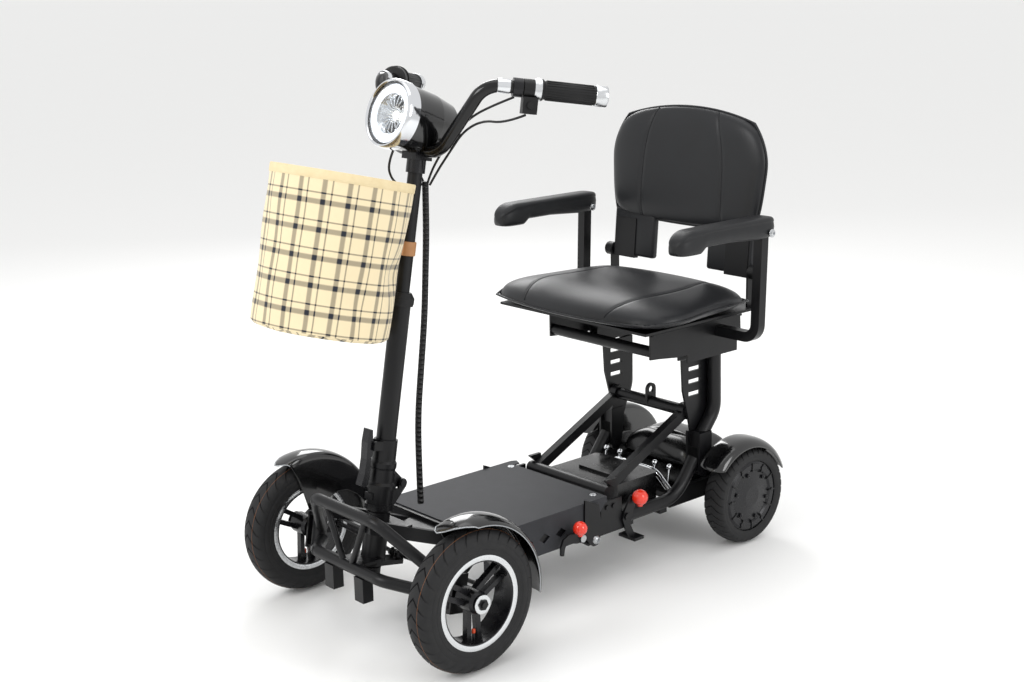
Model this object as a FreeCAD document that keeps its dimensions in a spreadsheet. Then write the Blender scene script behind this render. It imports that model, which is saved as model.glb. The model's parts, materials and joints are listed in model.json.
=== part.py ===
import FreeCAD, Part
import math
import os

import Sketcher
from FreeCAD import Placement, Rotation, Vector

# A folding four-wheel mobility scooter with a raked tiller, a flat deck and a rider's seat.
# Frame while building: X to the rider's left, Y rearward from the front axle, Z up, ground at Z 0.
# At the end every sub-part is shifted along Y so that the origin lies under the middle of the scooter.

doc = FreeCAD.newDocument("mobility_scooter")

# ---------------------------------------------------------------- driving dimensions, millimetres
DRIVING = [
    ("wheelbase", 786), ("front_half_track", 250.6), ("rear_half_track", 180),
    ("front_tyre_dia", 255), ("front_tyre_width", 52), ("front_rim_dia", 167),
    ("rear_tyre_dia", 200), ("rear_tyre_width", 51), ("hub_motor_dia", 146),
    ("front_axle_dia", 12), ("rear_axle_dia", 14), ("bearing_dia", 28), ("bearing_width", 8),
    ("front_hub_dia", 40), ("front_hub_length", 48), ("spoke_width", 9), ("spoke_gap", 9),
    ("running_gap", 0.05), ("soft_gap", 0.3), ("clear_gap", 0.5), ("swing_gap", 3),
    ("tiller_rake", 10.63), ("steer_foot_y", -13.7), ("steer_foot_z", 170),
    ("steer_shaft_dia", 25), ("head_tube_dia", 44), ("head_tube_bore", 37),
    ("head_tube_bottom", -34), ("head_tube_top", 52),
    ("pitman_reach", 50), ("pitman_spread", 9), ("tie_rod_height", -30), ("tie_rod_dia", 8),
    ("rod_eye_dia", 16), ("rod_eye_width", 8), ("rod_pin_dia", 6),
    ("kingpin_half_track", 200), ("kingpin_dia", 12), ("kingpin_sleeve_dia", 28),
    ("kingpin_sleeve_length", 56),
    ("ring_tube_dia", 22), ("ring_front", 75), ("ring_half_width", 92), ("ring_top", 240),
    ("ring_bottom", 137), ("brace_dia", 12),
    ("hinge_base_dia", 46), ("hinge_parting", 95), ("fold_pin_reach", 38), ("fold_pin_rise", 105),
    ("fold_pin_dia", 8), ("hinge_lug_radius", 8),
    ("tiller_tube_dia", 36), ("tiller_tube_wall", 2.5), ("tiller_tube_top", 440),
    ("mast_dia", 26), ("mast_wall", 2), ("mast_bottom", 330), ("bar_rise_height", 698),
    ("bar_dia", 22.2), ("bar_half_width", 257), ("bar_sweep", 181), ("bar_top", 823.5),
    ("grip_dia", 33), ("grip_length", 112),
    ("lamp_dia", 120), ("lamp_length", 140), ("lamp_height", 755), ("lamp_reach", 72),
    ("basket_top_dia", 243.6), ("basket_bottom_dia", 235), ("basket_depth", 272),
    ("basket_wall", 3), ("basket_reach", 151.9), ("basket_rim_height", 645),
    ("loom_dia", 12),
    ("deck_half_width", 144.6), ("deck_front", 120), ("deck_rear", 428), ("deck_top", 176),
    ("deck_sheet", 2.5), ("deck_screw_sink", 1.6), ("deck_flange", 72), ("deck_hole", 20), ("deck_hole_pitch", 42),
    ("rail_height", 30), ("rail_outer", 139), ("rail_inner", 111),
    ("mid_hinge_y", 395), ("mid_hinge_z", 97), ("mid_pin_dia", 10), ("mid_lug_width", 14),
    ("main_tube_dia", 26), ("main_tube_x", 125), ("main_tube_z", 112),
    ("seat_hinge_y", 706), ("seat_hinge_z", 162), ("seat_pin_dia", 10),
    ("seat_tube_dia", 28), ("support_plate_x", 110), ("support_plate", 4),
    ("crossbar_y", 700), ("crossbar_z", 278), ("crossbar_dia", 24),
    ("strut_foot_y", 465), ("strut_foot_z", 165), ("strut_x", 96), ("strut_size", 16),
    ("channel_bottom", 393), ("channel_wall", 4),
    ("battery_width", 176), ("battery_front", 482), ("battery_length", 150),
    ("battery_height", 63), ("battery_bottom", 100),
    ("drive_half_width", 103), ("drive_front", 702), ("drive_rear", 852),
    ("drive_bottom", 88), ("drive_split", 150), ("drive_top", 205),
    ("cushion_width", 452), ("cushion_front", 450), ("cushion_rear", 774),
    ("cushion_bottom", 496), ("cushion_top", 556),
    ("back_width", 420), ("back_bottom", 636), ("back_height", 244), ("back_thickness", 46),
    ("back_hinge_y", 787), ("back_hinge_z", 564), ("back_lean", 5),
    ("arm_x", 244), ("arm_pivot_y", 752), ("arm_pivot_z", 656), ("arm_pin_dia", 8),
    ("arm_post", 20), ("arm_pad_width", 48), ("arm_pad_front", 500), ("arm_pad_top", 688),
]
sheet = doc.addObject("Spreadsheet::Sheet", "Sizes")
for row, (alias, number) in enumerate(DRIVING, start=1):
    sheet.set(f"A{row}", alias)
    sheet.set(f"B{row}", str(number))
    sheet.setAlias(f"B{row}", alias)
doc.recompute()


class Size:
    """A length that carries both its value and the sheet expression it comes from."""

    def __init__(self, value, text):
        self.value = float(value)
        self.text = text

    def __float__(self):
        return self.value

    def __neg__(self):
        return Size(-self.value, f"(-1 * {self.text})")

    def __radd__(self, other):
        return as_size(other) + self

    def __rsub__(self, other):
        return as_size(other) - self

    def __rmul__(self, other):
        return as_size(other) * self

    def _join(self, other, sign, value):
        return Size(value, f"({self.text} {sign} {as_size(other).text})")

    def __add__(self, other):
        return self._join(other, "+", self.value + float(other))

    def __sub__(self, other):
        return self._join(other, "-", self.value - float(other))

    def __mul__(self, other):
        return self._join(other, "*", self.value * float(other))

    def __truediv__(self, other):
        return self._join(other, "/", self.value / float(other))


def as_size(number):
    return number if isinstance(number, Size) else Size(number, repr(float(number)))


class Sheet:
    """Reads a driving dimension by name, as in s.wheelbase."""

    def __getattr__(self, alias):
        return Size(getattr(sheet, alias), f"Sizes.{alias}")


s = Sheet()
NODES = {}
PLUS_X = Vector(1, 0, 0)
PLUS_Y = Vector(0, 1, 0)
PLUS_Z = Vector(0, 0, 1)
ALONG_X = Rotation(PLUS_Z, PLUS_X)
SIDES = (("left", 1), ("right", -1))


def keep(node, obj):
    """Give a finished sub-part its name."""
    obj.Label = node
    NODES[node] = obj
    return obj


def keep_shape(node, shape, placement=Placement()):
    """A sub-part whose shape comes from Part's own functions, moved to its place afterwards."""
    obj = doc.addObject("Part::Feature", node)
    obj.Shape = shape
    obj.Placement = placement
    return keep(node, obj)


# ---------------------------------------------------------------- sketches and bodies
def new_body(node, placement=Placement()):
    body = doc.addObject("PartDesign::Body", node)
    body.Placement = placement
    return keep(node, body)


def new_sketch(body, role, offset=0.0):
    sketch = body.newObject("Sketcher::SketchObject", f"{body.Name}_sketch")
    plane = [f for f in body.Origin.OriginFeatures if f.Role == role][0]
    sketch.AttachmentSupport = (plane, [""])
    sketch.MapMode = "FlatFace"
    sketch.AttachmentOffset = Placement(Vector(0, 0, float(offset)), Rotation())
    if isinstance(offset, Size):
        sketch.setExpression("AttachmentOffset.Base.z", offset.text)
    return sketch


def pin_point(sketch, edge, end, axis, number):
    """Hold one end of a sketch edge at a distance from the sketch's origin, along X or Y."""
    number = as_size(number)
    if number.value == 0:
        other_axis = -2 if axis == "X" else -1
        sketch.addConstraint(Sketcher.Constraint("PointOnObject", edge, end, other_axis))
        return
    rule = Sketcher.Constraint(f"Distance{axis}", -1, 1, edge, end, number.value)
    index = sketch.addConstraint(rule)
    sketch.setExpression(f"Constraints[{index}]", number.text)


def arc_middle(start, end, radius, turn):
    """The middle of an arc between two points; turn is +1 to the left of the way there, -1 right."""
    chord = end.sub(start)
    across = Vector(chord.y, -chord.x, 0).normalize() * turn
    rise = radius - math.sqrt(max(radius ** 2 - (chord.Length / 2) ** 2, 0))
    return (start + end) * 0.5 + across * rise


def add_outline(sketch, corners):
    """A closed outline. A corner is (x, y), or (x, y, radius, turn) when an arc leaves it."""
    first = len(sketch.Geometry)
    spots = [Vector(float(c[0]), float(c[1]), 0) for c in corners]
    count = len(corners)
    for i, corner in enumerate(corners):
        start, end = spots[i], spots[(i + 1) % count]
        if len(corner) > 2:
            middle = arc_middle(start, end, float(corner[2]), corner[3])
            sketch.addGeometry(Part.Arc(start, middle, end), False)
        else:
            sketch.addGeometry(Part.LineSegment(start, end), False)
    for i, corner in enumerate(corners):
        edge = first + i
        following = first + (i + 1) % count
        end_here = nearest_end(sketch, edge, spots[(i + 1) % count])
        start_next = nearest_end(sketch, following, spots[(i + 1) % count])
        rule = Sketcher.Constraint("Coincident", edge, end_here, following, start_next)
        sketch.addConstraint(rule)
        start_here = nearest_end(sketch, edge, spots[i])
        pin_point(sketch, edge, start_here, "X", corner[0])
        pin_point(sketch, edge, start_here, "Y", corner[1])
        if len(corner) > 2:
            radius = as_size(corner[2])
            index = sketch.addConstraint(Sketcher.Constraint("Radius", edge, radius.value))
            sketch.setExpression(f"Constraints[{index}]", radius.text)


def nearest_end(sketch, edge, spot):
    """1 or 2: which end of a sketch edge lies at a spot."""
    shape = sketch.Geometry[edge]
    return 1 if shape.StartPoint.distanceToPoint(spot) < shape.EndPoint.distanceToPoint(spot) else 2


def add_circle(sketch, x, y, radius):
    radius = as_size(radius)
    centre = Vector(float(x), float(y), 0)
    edge = sketch.addGeometry(Part.Circle(centre, PLUS_Z, radius.value), False)
    index = sketch.addConstraint(Sketcher.Constraint("Radius", edge, radius.value))
    sketch.setExpression(f"Constraints[{index}]", radius.text)
    pin_point(sketch, edge, 3, "X", x)
    pin_point(sketch, edge, 3, "Y", y)


def feature(body, kind, sketch, name):
    new = body.newObject(f"PartDesign::{kind}", f"{body.Name}_{name}")
    new.Profile = sketch
    sketch.Visibility = False
    return new


def revolve(body, outline, about="Z", name="turned"):
    """Turn an outline, given as (radius, height) corners, about the body's own axis."""
    role = "XZ_Plane" if about == "Z" else "XY_Plane"
    sketch = new_sketch(body, role)
    add_outline(sketch, outline)
    turned = feature(body, "Revolution", sketch, name)
    turned.ReferenceAxis = (sketch, ["V_Axis"] if about == "Z" else ["H_Axis"])
    turned.Angle = 360
    return turned


def pad(body, role, outline, length, offset=0.0, middle=False, back=False, holes=(), name="pad"):
    """Push an outline out from one of the body's planes."""
    sketch = new_sketch(body, role, offset)
    add_outline(sketch, outline)
    for hole in holes:
        add_circle(sketch, *hole)
    solid = feature(body, "Pad", sketch, name)
    solid.Length = float(length)
    solid.setExpression("Length", as_size(length).text)
    solid.SideType = "Symmetric" if middle else "One side"
    solid.Reversed = back
    return solid


def pocket(body, role, outline=None, circle=None, length=500, offset=0.0, name="pocket"):
    """Cut an outline or a circle right through, both ways from the plane."""
    sketch = new_sketch(body, role, offset)
    if outline:
        add_outline(sketch, outline)
    if circle:
        add_circle(sketch, *circle)
    cut = feature(body, "Pocket", sketch, name)
    cut.Length = float(length)
    cut.setExpression("Length", as_size(length).text)
    cut.SideType = "Symmetric"
    return cut


def add_ball(body, radius, place):
    """A ball joined to a body."""
    ball = body.newObject("PartDesign::AdditiveSphere", f"{body.Name}_ball")
    ball.Radius = radius
    ball.AttachmentOffset = Placement(place, Rotation())
    ball.AttachmentSupport = ([f for f in body.Origin.OriginFeatures if f.Role == "XY_Plane"][0], [""])
    ball.MapMode = "FlatFace"
    return ball


def polar(body, what, axis_role, count):
    """Repeat a feature evenly round one of the body's axes."""
    pattern = body.newObject("PartDesign::PolarPattern", f"{body.Name}_ring")
    pattern.Originals = [what]
    axis = [f for f in body.Origin.OriginFeatures if f.Role == axis_role][0]
    pattern.Axis = (axis, [""])
    pattern.Angle = 360
    pattern.Occurrences = count
    body.Tip = pattern
    return pattern


def round_edges(body, base, radius, wanted, name="rounded"):
    """Fillet the edges of a feature that the test picks."""
    doc.recompute()
    edges = [f"Edge{i}" for i, edge in enumerate(base.Shape.Edges, start=1) if wanted(edge)]
    fillet = body.newObject("PartDesign::Fillet", f"{body.Name}_{name}")
    fillet.Base = (base, edges)
    fillet.Radius = float(radius)
    body.Tip = fillet
    return fillet


# ---------------------------------------------------------------- solids made by Part's functions
def block(x, y, z):
    """A box between two values along each axis."""
    low = Vector(float(min(map(float, x))), float(min(map(float, y))), float(min(map(float, z))))
    high = Vector(float(max(map(float, x))), float(max(map(float, y))), float(max(map(float, z))))
    return Part.makeBox(high.x - low.x, high.y - low.y, high.z - low.z, low)


def rod(start, end, radius):
    """A round bar between two points."""
    along = end - start
    return Part.makeCylinder(float(radius), along.Length, start, along)


def ring(start, end, outer, inner):
    return rod(start, end, outer).cut(rod(start, end, inner))


def bent_path(points, bends):
    """Straight runs joined by tangent arcs; bends holds the radius at each inner point."""
    edges = []
    here = points[0]
    for i, radius in enumerate(bends, start=1):
        corner = points[i]
        back = (points[i - 1] - corner).normalize()
        ahead = (points[i + 1] - corner).normalize()
        half_turn = (math.pi - back.getAngle(ahead)) / 2
        reach = float(radius) * math.tan(half_turn)
        inward = (back + ahead).normalize()
        depth = float(radius) / math.cos(half_turn) - float(radius)
        leave, join = corner + back * reach, corner + ahead * reach
        edges.append(Part.LineSegment(here, leave).toShape())
        edges.append(Part.Arc(leave, corner + inward * depth, join).toShape())
        here = join
    edges.append(Part.LineSegment(here, points[-1]).toShape())
    return Part.Wire(edges)


def bent_tube(points, bends, diameter):
    """A round bar swept along a bent path."""
    path = bent_path(points, bends)
    start = (points[1] - points[0]).normalize()
    section = Part.Wire(Part.makeCircle(float(diameter) / 2, points[0], start))
    return path.makePipeShell([section], True, False)


def flat_prism(corners, push):
    """A flat plate: its corners in order, pushed out by a vector."""
    wire = Part.makePolygon([Vector(*map(float, c)) for c in corners] + [Vector(*map(float, corners[0]))])
    return Part.Face(wire).extrude(push)


def mirror_pair(shape):
    """A shape and its twin on the other side of the scooter, joined in one."""
    return shape.fuse(shape.mirror(Vector(), PLUS_X))


def two_solids(shape):
    """A shape and its twin as two separate solids."""
    return Part.makeCompound([shape, shape.mirror(Vector(), PLUS_X)])


def domed_bolt(place, direction, head_radius, head_height, shank_radius, length):
    """A button-head bolt: the head stands on the place, the shank runs back from it."""
    head = Part.makeSphere(head_radius, Vector(), PLUS_Z)
    head = head.common(Part.makeCylinder(head_radius, head_height * 2, Vector(0, 0, head_radius * 0.35)))
    head.translate(Vector(0, 0, -head_radius * 0.35))
    head = head.common(Part.makeCylinder(head_radius, head_height))
    socket = Part.makeCylinder(head_radius * 0.4, head_height * 0.6, Vector(0, 0, head_height * 0.5))
    bolt = head.cut(socket)
    if length > 0:
        bolt = bolt.fuse(Part.makeCylinder(shank_radius, length, Vector(), Vector(0, 0, -1)))
    bolt.Placement = Placement(place, Rotation(PLUS_Z, direction))
    return bolt


# ---------------------------------------------------------------- frames of reference
RAKE = Rotation(PLUS_X, -float(s.tiller_rake))
STEER = Placement(Vector(0, float(s.steer_foot_y), float(s.steer_foot_z)), RAKE)


def steer_point(x, back, up):
    """A point given beside the steering axis: across, rearward of it and up along it."""
    return STEER.multVec(Vector(float(x), float(back), float(up)))


def kingpin_frame(side):
    base = Vector(side * float(s.kingpin_half_track), 0, float(s.front_tyre_dia) / 2)
    return Placement(base, RAKE)


def wheel_place(x, y, z):
    return Placement(Vector(float(x), float(y), float(z)), Rotation())


# ---------------------------------------------------------------- front frame and deck
def make_front_frame():
    """Raked head tube, the two kingpin sleeves, the tube ring between them and the two side beams."""
    edge = float(s.kingpin_half_track) - 10
    wide, front = float(s.ring_half_width), -float(s.ring_front)
    axle_z = float(s.front_tyre_dia) / 2
    frame = None
    for end_z, bar_z, bar_x in ((axle_z + 10.5, s.ring_top, wide), (axle_z - 15.5, s.ring_bottom, wide + 8)):
        bar_z = float(bar_z)
        points = [Vector(edge, 0, end_z), Vector(bar_x, front, bar_z),
                  Vector(-bar_x, front, bar_z), Vector(-edge, 0, end_z)]
        tube = bent_tube(points, [35, 35], s.ring_tube_dia)
        frame = tube if frame is None else frame.fuse(tube)
    top, bottom = float(s.ring_top) - 5, float(s.ring_bottom) + 3
    brace = rod(Vector(58, front, top), Vector(12, front, bottom), float(s.brace_dia) / 2)
    foot = block((32, 58), (front - 11, front + 11), (84, float(s.ring_bottom) - 8))
    beam = flat_prism([(52, -72, 212), (52, -72, 238), (52, float(s.deck_front) - 8, 163),
                       (52, float(s.deck_front) - 8, 138)], Vector(16, 0, 0))
    frame = frame.multiFuse([mirror_pair(brace), mirror_pair(foot), mirror_pair(beam)])
    head = rod(steer_point(0, 0, s.head_tube_bottom), steer_point(0, 0, s.head_tube_top),
               float(s.head_tube_dia) / 2)
    top_plate = block((-60, 60), (-44, 26), (198, 203))
    low_plate = block((-30, 30), (front, -20), (138, 143))
    frame = frame.multiFuse([head, top_plate, low_plate])
    for _, side in SIDES:
        pin = kingpin_frame(side)
        half = float(s.kingpin_sleeve_length) / 2
        low, high = pin.multVec(Vector(0, 0, -half)), pin.multVec(Vector(0, 0, half))
        frame = frame.fuse(rod(low, high, float(s.kingpin_sleeve_dia) / 2))
        frame = frame.cut(rod(low, high, float(s.kingpin_dia) / 2 + float(s.running_gap)))
    shaft = float(s.steer_shaft_dia) / 2 + float(s.running_gap)
    low, high = float(s.head_tube_bottom), float(s.head_tube_top)
    frame = frame.cut(rod(steer_point(0, 0, low - 12), steer_point(0, 0, high + 12), shaft))
    wide_bore = rod(steer_point(0, 0, low + 8), steer_point(0, 0, high - 8), float(s.head_tube_bore) / 2)
    below = rod(steer_point(0, 0, low - 12), steer_point(0, 0, low), float(s.head_tube_dia) / 2 + 1)
    return keep_shape("front_frame", frame.cut(wide_bore).cut(below))


def make_deck_frame():
    """Two rails, three cross members and the forked brackets of the middle hinge."""
    front = float(s.deck_front) - 8
    top = float(s.deck_top) - float(s.deck_sheet)
    low = top - float(s.rail_height)
    outer, inner = float(s.rail_outer), float(s.rail_inner)
    y, z = float(s.mid_hinge_y), float(s.mid_hinge_z)
    end = y + 17
    rail = block((inner, outer), (front, end), (low, top))
    fork = None
    for near in (inner, outer - 6):
        plate = flat_prism([(near, y - 30, low), (near, y - 30, z), (near, y - 12, z - 12),
                            (near, y + 12, z - 12), (near, end, z + 3), (near, end, low)], Vector(6, 0, 0))
        fork = plate if fork is None else fork.fuse(plate)
    reach = float(s.deck_half_width)
    boss = rod(Vector(outer - 1, y, z), Vector(reach + 1, y, z), 9)
    face = flat_prism([(reach + 0.1, y - 30, z + 12), (reach + 0.1, y - 28, z + 86),
                       (reach + 0.1, y + 8, z + 70), (reach + 0.1, end, z + 16),
                       (reach + 0.1, y + 4, z - 11), (reach + 0.1, y - 8, z - 11)], Vector(4, 0, 0))
    sides = mirror_pair(rail.multiFuse([fork, boss, face]))
    for start, width in ((front, 20), (260, 20), (y - 10, 15)):
        sides = sides.fuse(block((-inner - 1, inner + 1), (start, start + width), (low, top)))
    pin = rod(Vector(-160, y, z), Vector(160, y, z), float(s.mid_pin_dia) / 2 + float(s.running_gap))
    return keep_shape("deck_frame", sides.cut(pin))


def make_deck_plate():
    """The folded deck sheet: a flat top and two side flanges with diamond openings."""
    body = new_body("deck_plate")
    half, top, thick = s.deck_half_width, s.deck_top, s.deck_sheet
    low = top - s.deck_flange
    front, rear = s.deck_front, s.deck_rear
    pad(body, "XZ_Plane",
        [(-half, low), (-half + thick, low), (-half + thick, top - thick), (half - thick, top - thick),
         (half - thick, low), (half, low), (half, top), (-half, top)],
        rear - front, offset=-front, back=True, name="folded_sheet")
    pocket(body, "YZ_Plane", outline=[(rear - 60, low - 5), (rear + 5, low - 5), (rear + 5, top - 12),
                                      (rear - 4, top - 12)], length=400, name="slanted_end")
    hole = s.deck_hole / 2
    middle = low + s.deck_flange * 0.42
    for i in range(5):
        y = front + 62 + s.deck_hole_pitch * i
        pocket(body, "YZ_Plane", outline=[(y - hole * 1.35, middle), (y, middle - hole),
                                          (y + hole * 1.35, middle), (y, middle + hole)],
               length=400, name=f"diamond_{i + 1}")
    pad(body, "XY_Plane", [(-half, rear - 1), (-half + 22, rear - 1), (-half + 22, rear + 14),
                           (-half + 6, rear + 20), (-half, rear + 10)],
        thick, offset=top - thick, name="rear_tab")
    for tag, side in SIDES:
        pocket(body, "XY_Plane", circle=(side * 119, 416, 8.4), length=s.deck_screw_sink * 2, offset=top,
               name=f"screw_seat_{tag}")
    return body


def make_chassis_fasteners():
    """The two deck screws, the two bolts of the middle hinge and the stud of the hook."""
    y, z = float(s.mid_hinge_y), float(s.mid_hinge_z)
    screws = []
    for _, side in SIDES:
        place = Vector(side * 119, 416, float(s.deck_top - s.deck_screw_sink) + 0.02)
        screws.append(domed_bolt(place, PLUS_Z, 8, float(s.deck_screw_sink) - 0.1, 3, 0))
        face = float(s.deck_half_width) + 4.15
        outward = Vector(side, 0, 0)
        shank = face - float(s.rail_inner) + 4
        screws.append(domed_bolt(Vector(side * face, y, z), outward, 9.5, 5, float(s.mid_pin_dia) / 2, shank))
    face = float(s.deck_half_width) + 0.1
    stud = rod(Vector(face, 345, 118), Vector(face + 20, 345, 118), 4)
    stud = stud.fuse(rod(Vector(face, 345, 118), Vector(face + 12.9, 345, 118), 8))
    screws.append(stud.fuse(rod(Vector(face + 18, 345, 118), Vector(face + 22, 345, 118), 7)))
    return keep_shape("chassis_fasteners", Part.makeCompound(screws))


def make_front_tray():
    """The shallow tray between the side beams, ahead of the deck."""
    body = new_body("front_tray")
    front, rear = s.deck_front - 60, s.deck_front - 8.2
    pad(body, "XY_Plane", [(-51.9, front), (51.9, front), (51.9, rear), (-51.9, rear)], 5, offset=161)
    pad(body, "XY_Plane", [(-51.9, front), (51.9, front), (51.9, front + 3), (-51.9, front + 3)], 12,
        offset=161, name="front_lip")
    return body


def make_frame_latch():
    """The hook beside the middle hinge and the lever with the round knob that swings it."""
    body = new_body("frame_latch", Placement(Vector(0, 345, 118), Rotation()))
    pad(body, "YZ_Plane", [(8, -8), (8, 8), (-8, 15), (-8, 30), (-20, 30), (-20, 15), (-34, 15), (-47, 9), (-54, -6), (-54, -21),
                           (-47, -23), (-44, -8), (-38, 0), (-14, -7)], 4.5, offset=158,
        holes=[(0, 0, 4.05)], name="hook")
    add_ball(body, 13, Vector(172, -14, 26))
    return body


# ---------------------------------------------------------------- steering
def make_steering_stem():
    """The shaft in the head tube, its flange, bottom nut and the arm that moves the tie rods."""
    body = new_body("steering_stem", STEER)
    low, high = s.head_tube_bottom, s.head_tube_top
    shaft = s.steer_shaft_dia / 2
    revolve(body, [(0, low - 28), (16, low - 28), (16, low - 16), (shaft, low - 16), (shaft, high + 0.5),
                   (19, high + 0.5), (19, high + 5), (26, high + 5), (26, high + 9), (0, high + 9)])
    reach = s.pitman_reach
    pad(body, "XY_Plane", [(-8, -16), (-18, -4), (-18, reach + 6), (-12, reach + 10), (12, reach + 10),
                           (18, reach + 6), (18, -4), (8, -16)], 8, offset=low - 12, name="arm")
    for side in (1, -1):
        sketch = new_sketch(body, "XY_Plane", low - 5)
        add_circle(sketch, s.pitman_spread * side, reach, s.rod_pin_dia / 2)
        pin = feature(body, "Pad", sketch, "pin")
        pin.Length = 17
    return body


def make_tiller_hinge_base():
    """The lower half of the folding hinge: a short pillar with two lugs and the fold pin behind it."""
    low = float(s.head_tube_top) + 9
    split = float(s.hinge_parting)
    back, up = float(s.fold_pin_reach), float(s.fold_pin_rise)
    pillar = Part.makeCylinder(float(s.hinge_base_dia) / 2, split - low, Vector(0, 0, low))
    foot = Part.makeCylinder(float(s.hinge_base_dia) / 2 + 3, 5, Vector(0, 0, low + 0.02))
    lug = None
    lug_radius = float(s.hinge_lug_radius)
    for near in (9.5, -15):
        plate = flat_prism([(near, 10, low + 3), (near, 22, low + 3), (near, back + lug_radius, split + 4),
                            (near, back + lug_radius, up), (near, back - lug_radius, up),
                            (near, back - lug_radius, split - 0.5), (near, 10, split - 0.5)], Vector(5.5, 0, 0))
        plate = plate.fuse(rod(Vector(near, back, up), Vector(near + 5.5, back, up), lug_radius))
        lug = plate if lug is None else lug.fuse(plate)
    slot = block((-9.5, 9.5), (24, back + 12), (split - 18, split + 30))
    front_lug = block((-9, 9), (-27, -18), (split - 20, split - 8))
    pin = rod(Vector(-18, back, up), Vector(18, back, up), float(s.fold_pin_dia) / 2)
    heads = rod(Vector(-18, back, up), Vector(-15, back, up), 6.5)
    heads = heads.fuse(rod(Vector(15, back, up), Vector(18, back, up), 6.5))
    shape = pillar.multiFuse([foot, lug, front_lug]).cut(slot).fuse(pin).fuse(heads)
    return keep_shape("tiller_hinge_base", shape, STEER)


def make_knuckle(name, side):
    """A C-shaped carrier on the kingpin with the stub axle, the washer, the nut and the steering arm."""
    half = float(s.kingpin_sleeve_length) / 2
    sleeve = float(s.kingpin_sleeve_dia) / 2
    pin = Part.makeCylinder(float(s.kingpin_dia) / 2, 2 * half + 22, Vector(0, 0, -half - 11))
    pin = pin.fuse(Part.makeCylinder(10, 4, Vector(0, 0, half + 7)))
    shape = pin.fuse(Part.makeCylinder(10, 4, Vector(0, 0, -half - 11)))
    for low in (half + 0.3, -half - 7):
        cap = Part.makeCylinder(sleeve + 1, 6.7, Vector(0, 0, low))
        shape = shape.fuse(cap.fuse(block((0, side * 19), (-14, 14), (low, low + 6.7))))
    web = block((side * (sleeve + 0.3), side * 19), (-16, 16), (-half - 7, half + 7))
    reach = float(s.pitman_reach)
    gap = float(s.pitman_spread)
    arm = flat_prism([(side * 5, 17, -7), (side * 19, 13, -7), (side * 17, reach, -7), (side * 1, reach, -7)],
                     Vector(0, 0, 8))
    arm = arm.fuse(Part.makeCylinder(8.5, 8, Vector(side * gap, reach, -7)))
    ball = Part.makeCylinder(float(s.rod_pin_dia) / 2, 17, Vector(side * gap, reach, 0))
    ball = ball.fuse(Part.makeCylinder(5, 3, Vector(side * gap, reach, 14)))
    wheel = float(s.front_half_track) - float(s.kingpin_half_track)
    hub = float(s.front_hub_length) / 2
    axle = rod(Vector(side * 16, 0, 0), Vector(side * (wheel + hub + 13), 0, 0), float(s.front_axle_dia) / 2)
    spacer = rod(Vector(side * 18, 0, 0), Vector(side * (wheel - hub - 0.3), 0, 0), 9)
    washer = rod(Vector(side * (wheel + hub + 0.3), 0, 0), Vector(side * (wheel + hub + 2.5), 0, 0), 12)
    nut = Part.Face(Part.makePolygon([Vector(0, 10 * math.cos(math.radians(60 * i)),
                                             10 * math.sin(math.radians(60 * i))) for i in range(7)]))
    nut = nut.extrude(Vector(side * 8, 0, 0))
    nut.translate(Vector(side * (wheel + hub + 2.4), 0, 0))
    shape = shape.multiFuse([web, arm, ball, axle, spacer, washer, nut])
    return keep_shape(name, shape, kingpin_frame(side))


def make_tie_rod(name, side):
    """A thin rod with an eye at each end."""
    reach, spread = float(s.pitman_reach), float(s.pitman_spread)
    inner = Vector(side * spread, reach, float(s.tie_rod_height))
    to_steer = STEER.inverse().multiply(kingpin_frame(side))
    outer = to_steer.multVec(Vector(side * spread, reach, 0))
    outer.z = inner.z
    half = float(s.rod_eye_width) / 2
    shape = rod(inner, outer, float(s.tie_rod_dia) / 2)
    for place in (inner, outer):
        low = Vector(place.x, place.y, place.z - half)
        shape = shape.fuse(Part.makeCylinder(float(s.rod_eye_dia) / 2, 2 * half, low))
    for place, gap in ((inner, s.soft_gap), (outer, s.running_gap)):
        low = Vector(place.x, place.y, place.z - half - 1)
        hole = Part.makeCylinder(float(s.rod_pin_dia) / 2 + float(gap), 2 * half + 2, low)
        shape = shape.cut(hole)
    return keep_shape(name, shape, STEER)


# ---------------------------------------------------------------- wheels
def make_front_tyre(name, side):
    body = new_body(name, wheel_place(s.front_half_track * side, 0, s.front_tyre_dia / 2))
    outer, half = s.front_tyre_dia / 2, s.front_tyre_width / 2
    bead = s.front_rim_dia / 2
    half_side = [(bead - 7.2, half - 6.5), (bead + 1, half - 6.5), (bead + 7, half - 2), (bead + 18, half),
                 (outer - 14, half - 0.5), (outer - 5, half - 5), (outer - 1, half - 12)]
    outline = [(x, r) for r, x in half_side]
    return wheel_turn(body, outline + [(0, outer)] + [(-x, r) for r, x in reversed(half_side)])


def wheel_turn(body, outline, name="turned"):
    """Turn an outline, given as (across, radius) corners, about the wheel's axle along X."""
    sketch = new_sketch(body, "XY_Plane")
    add_outline(sketch, outline)
    turned = feature(body, "Revolution", sketch, name)
    turned.ReferenceAxis = (sketch, ["H_Axis"])
    turned.Angle = 360
    return turned


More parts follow.
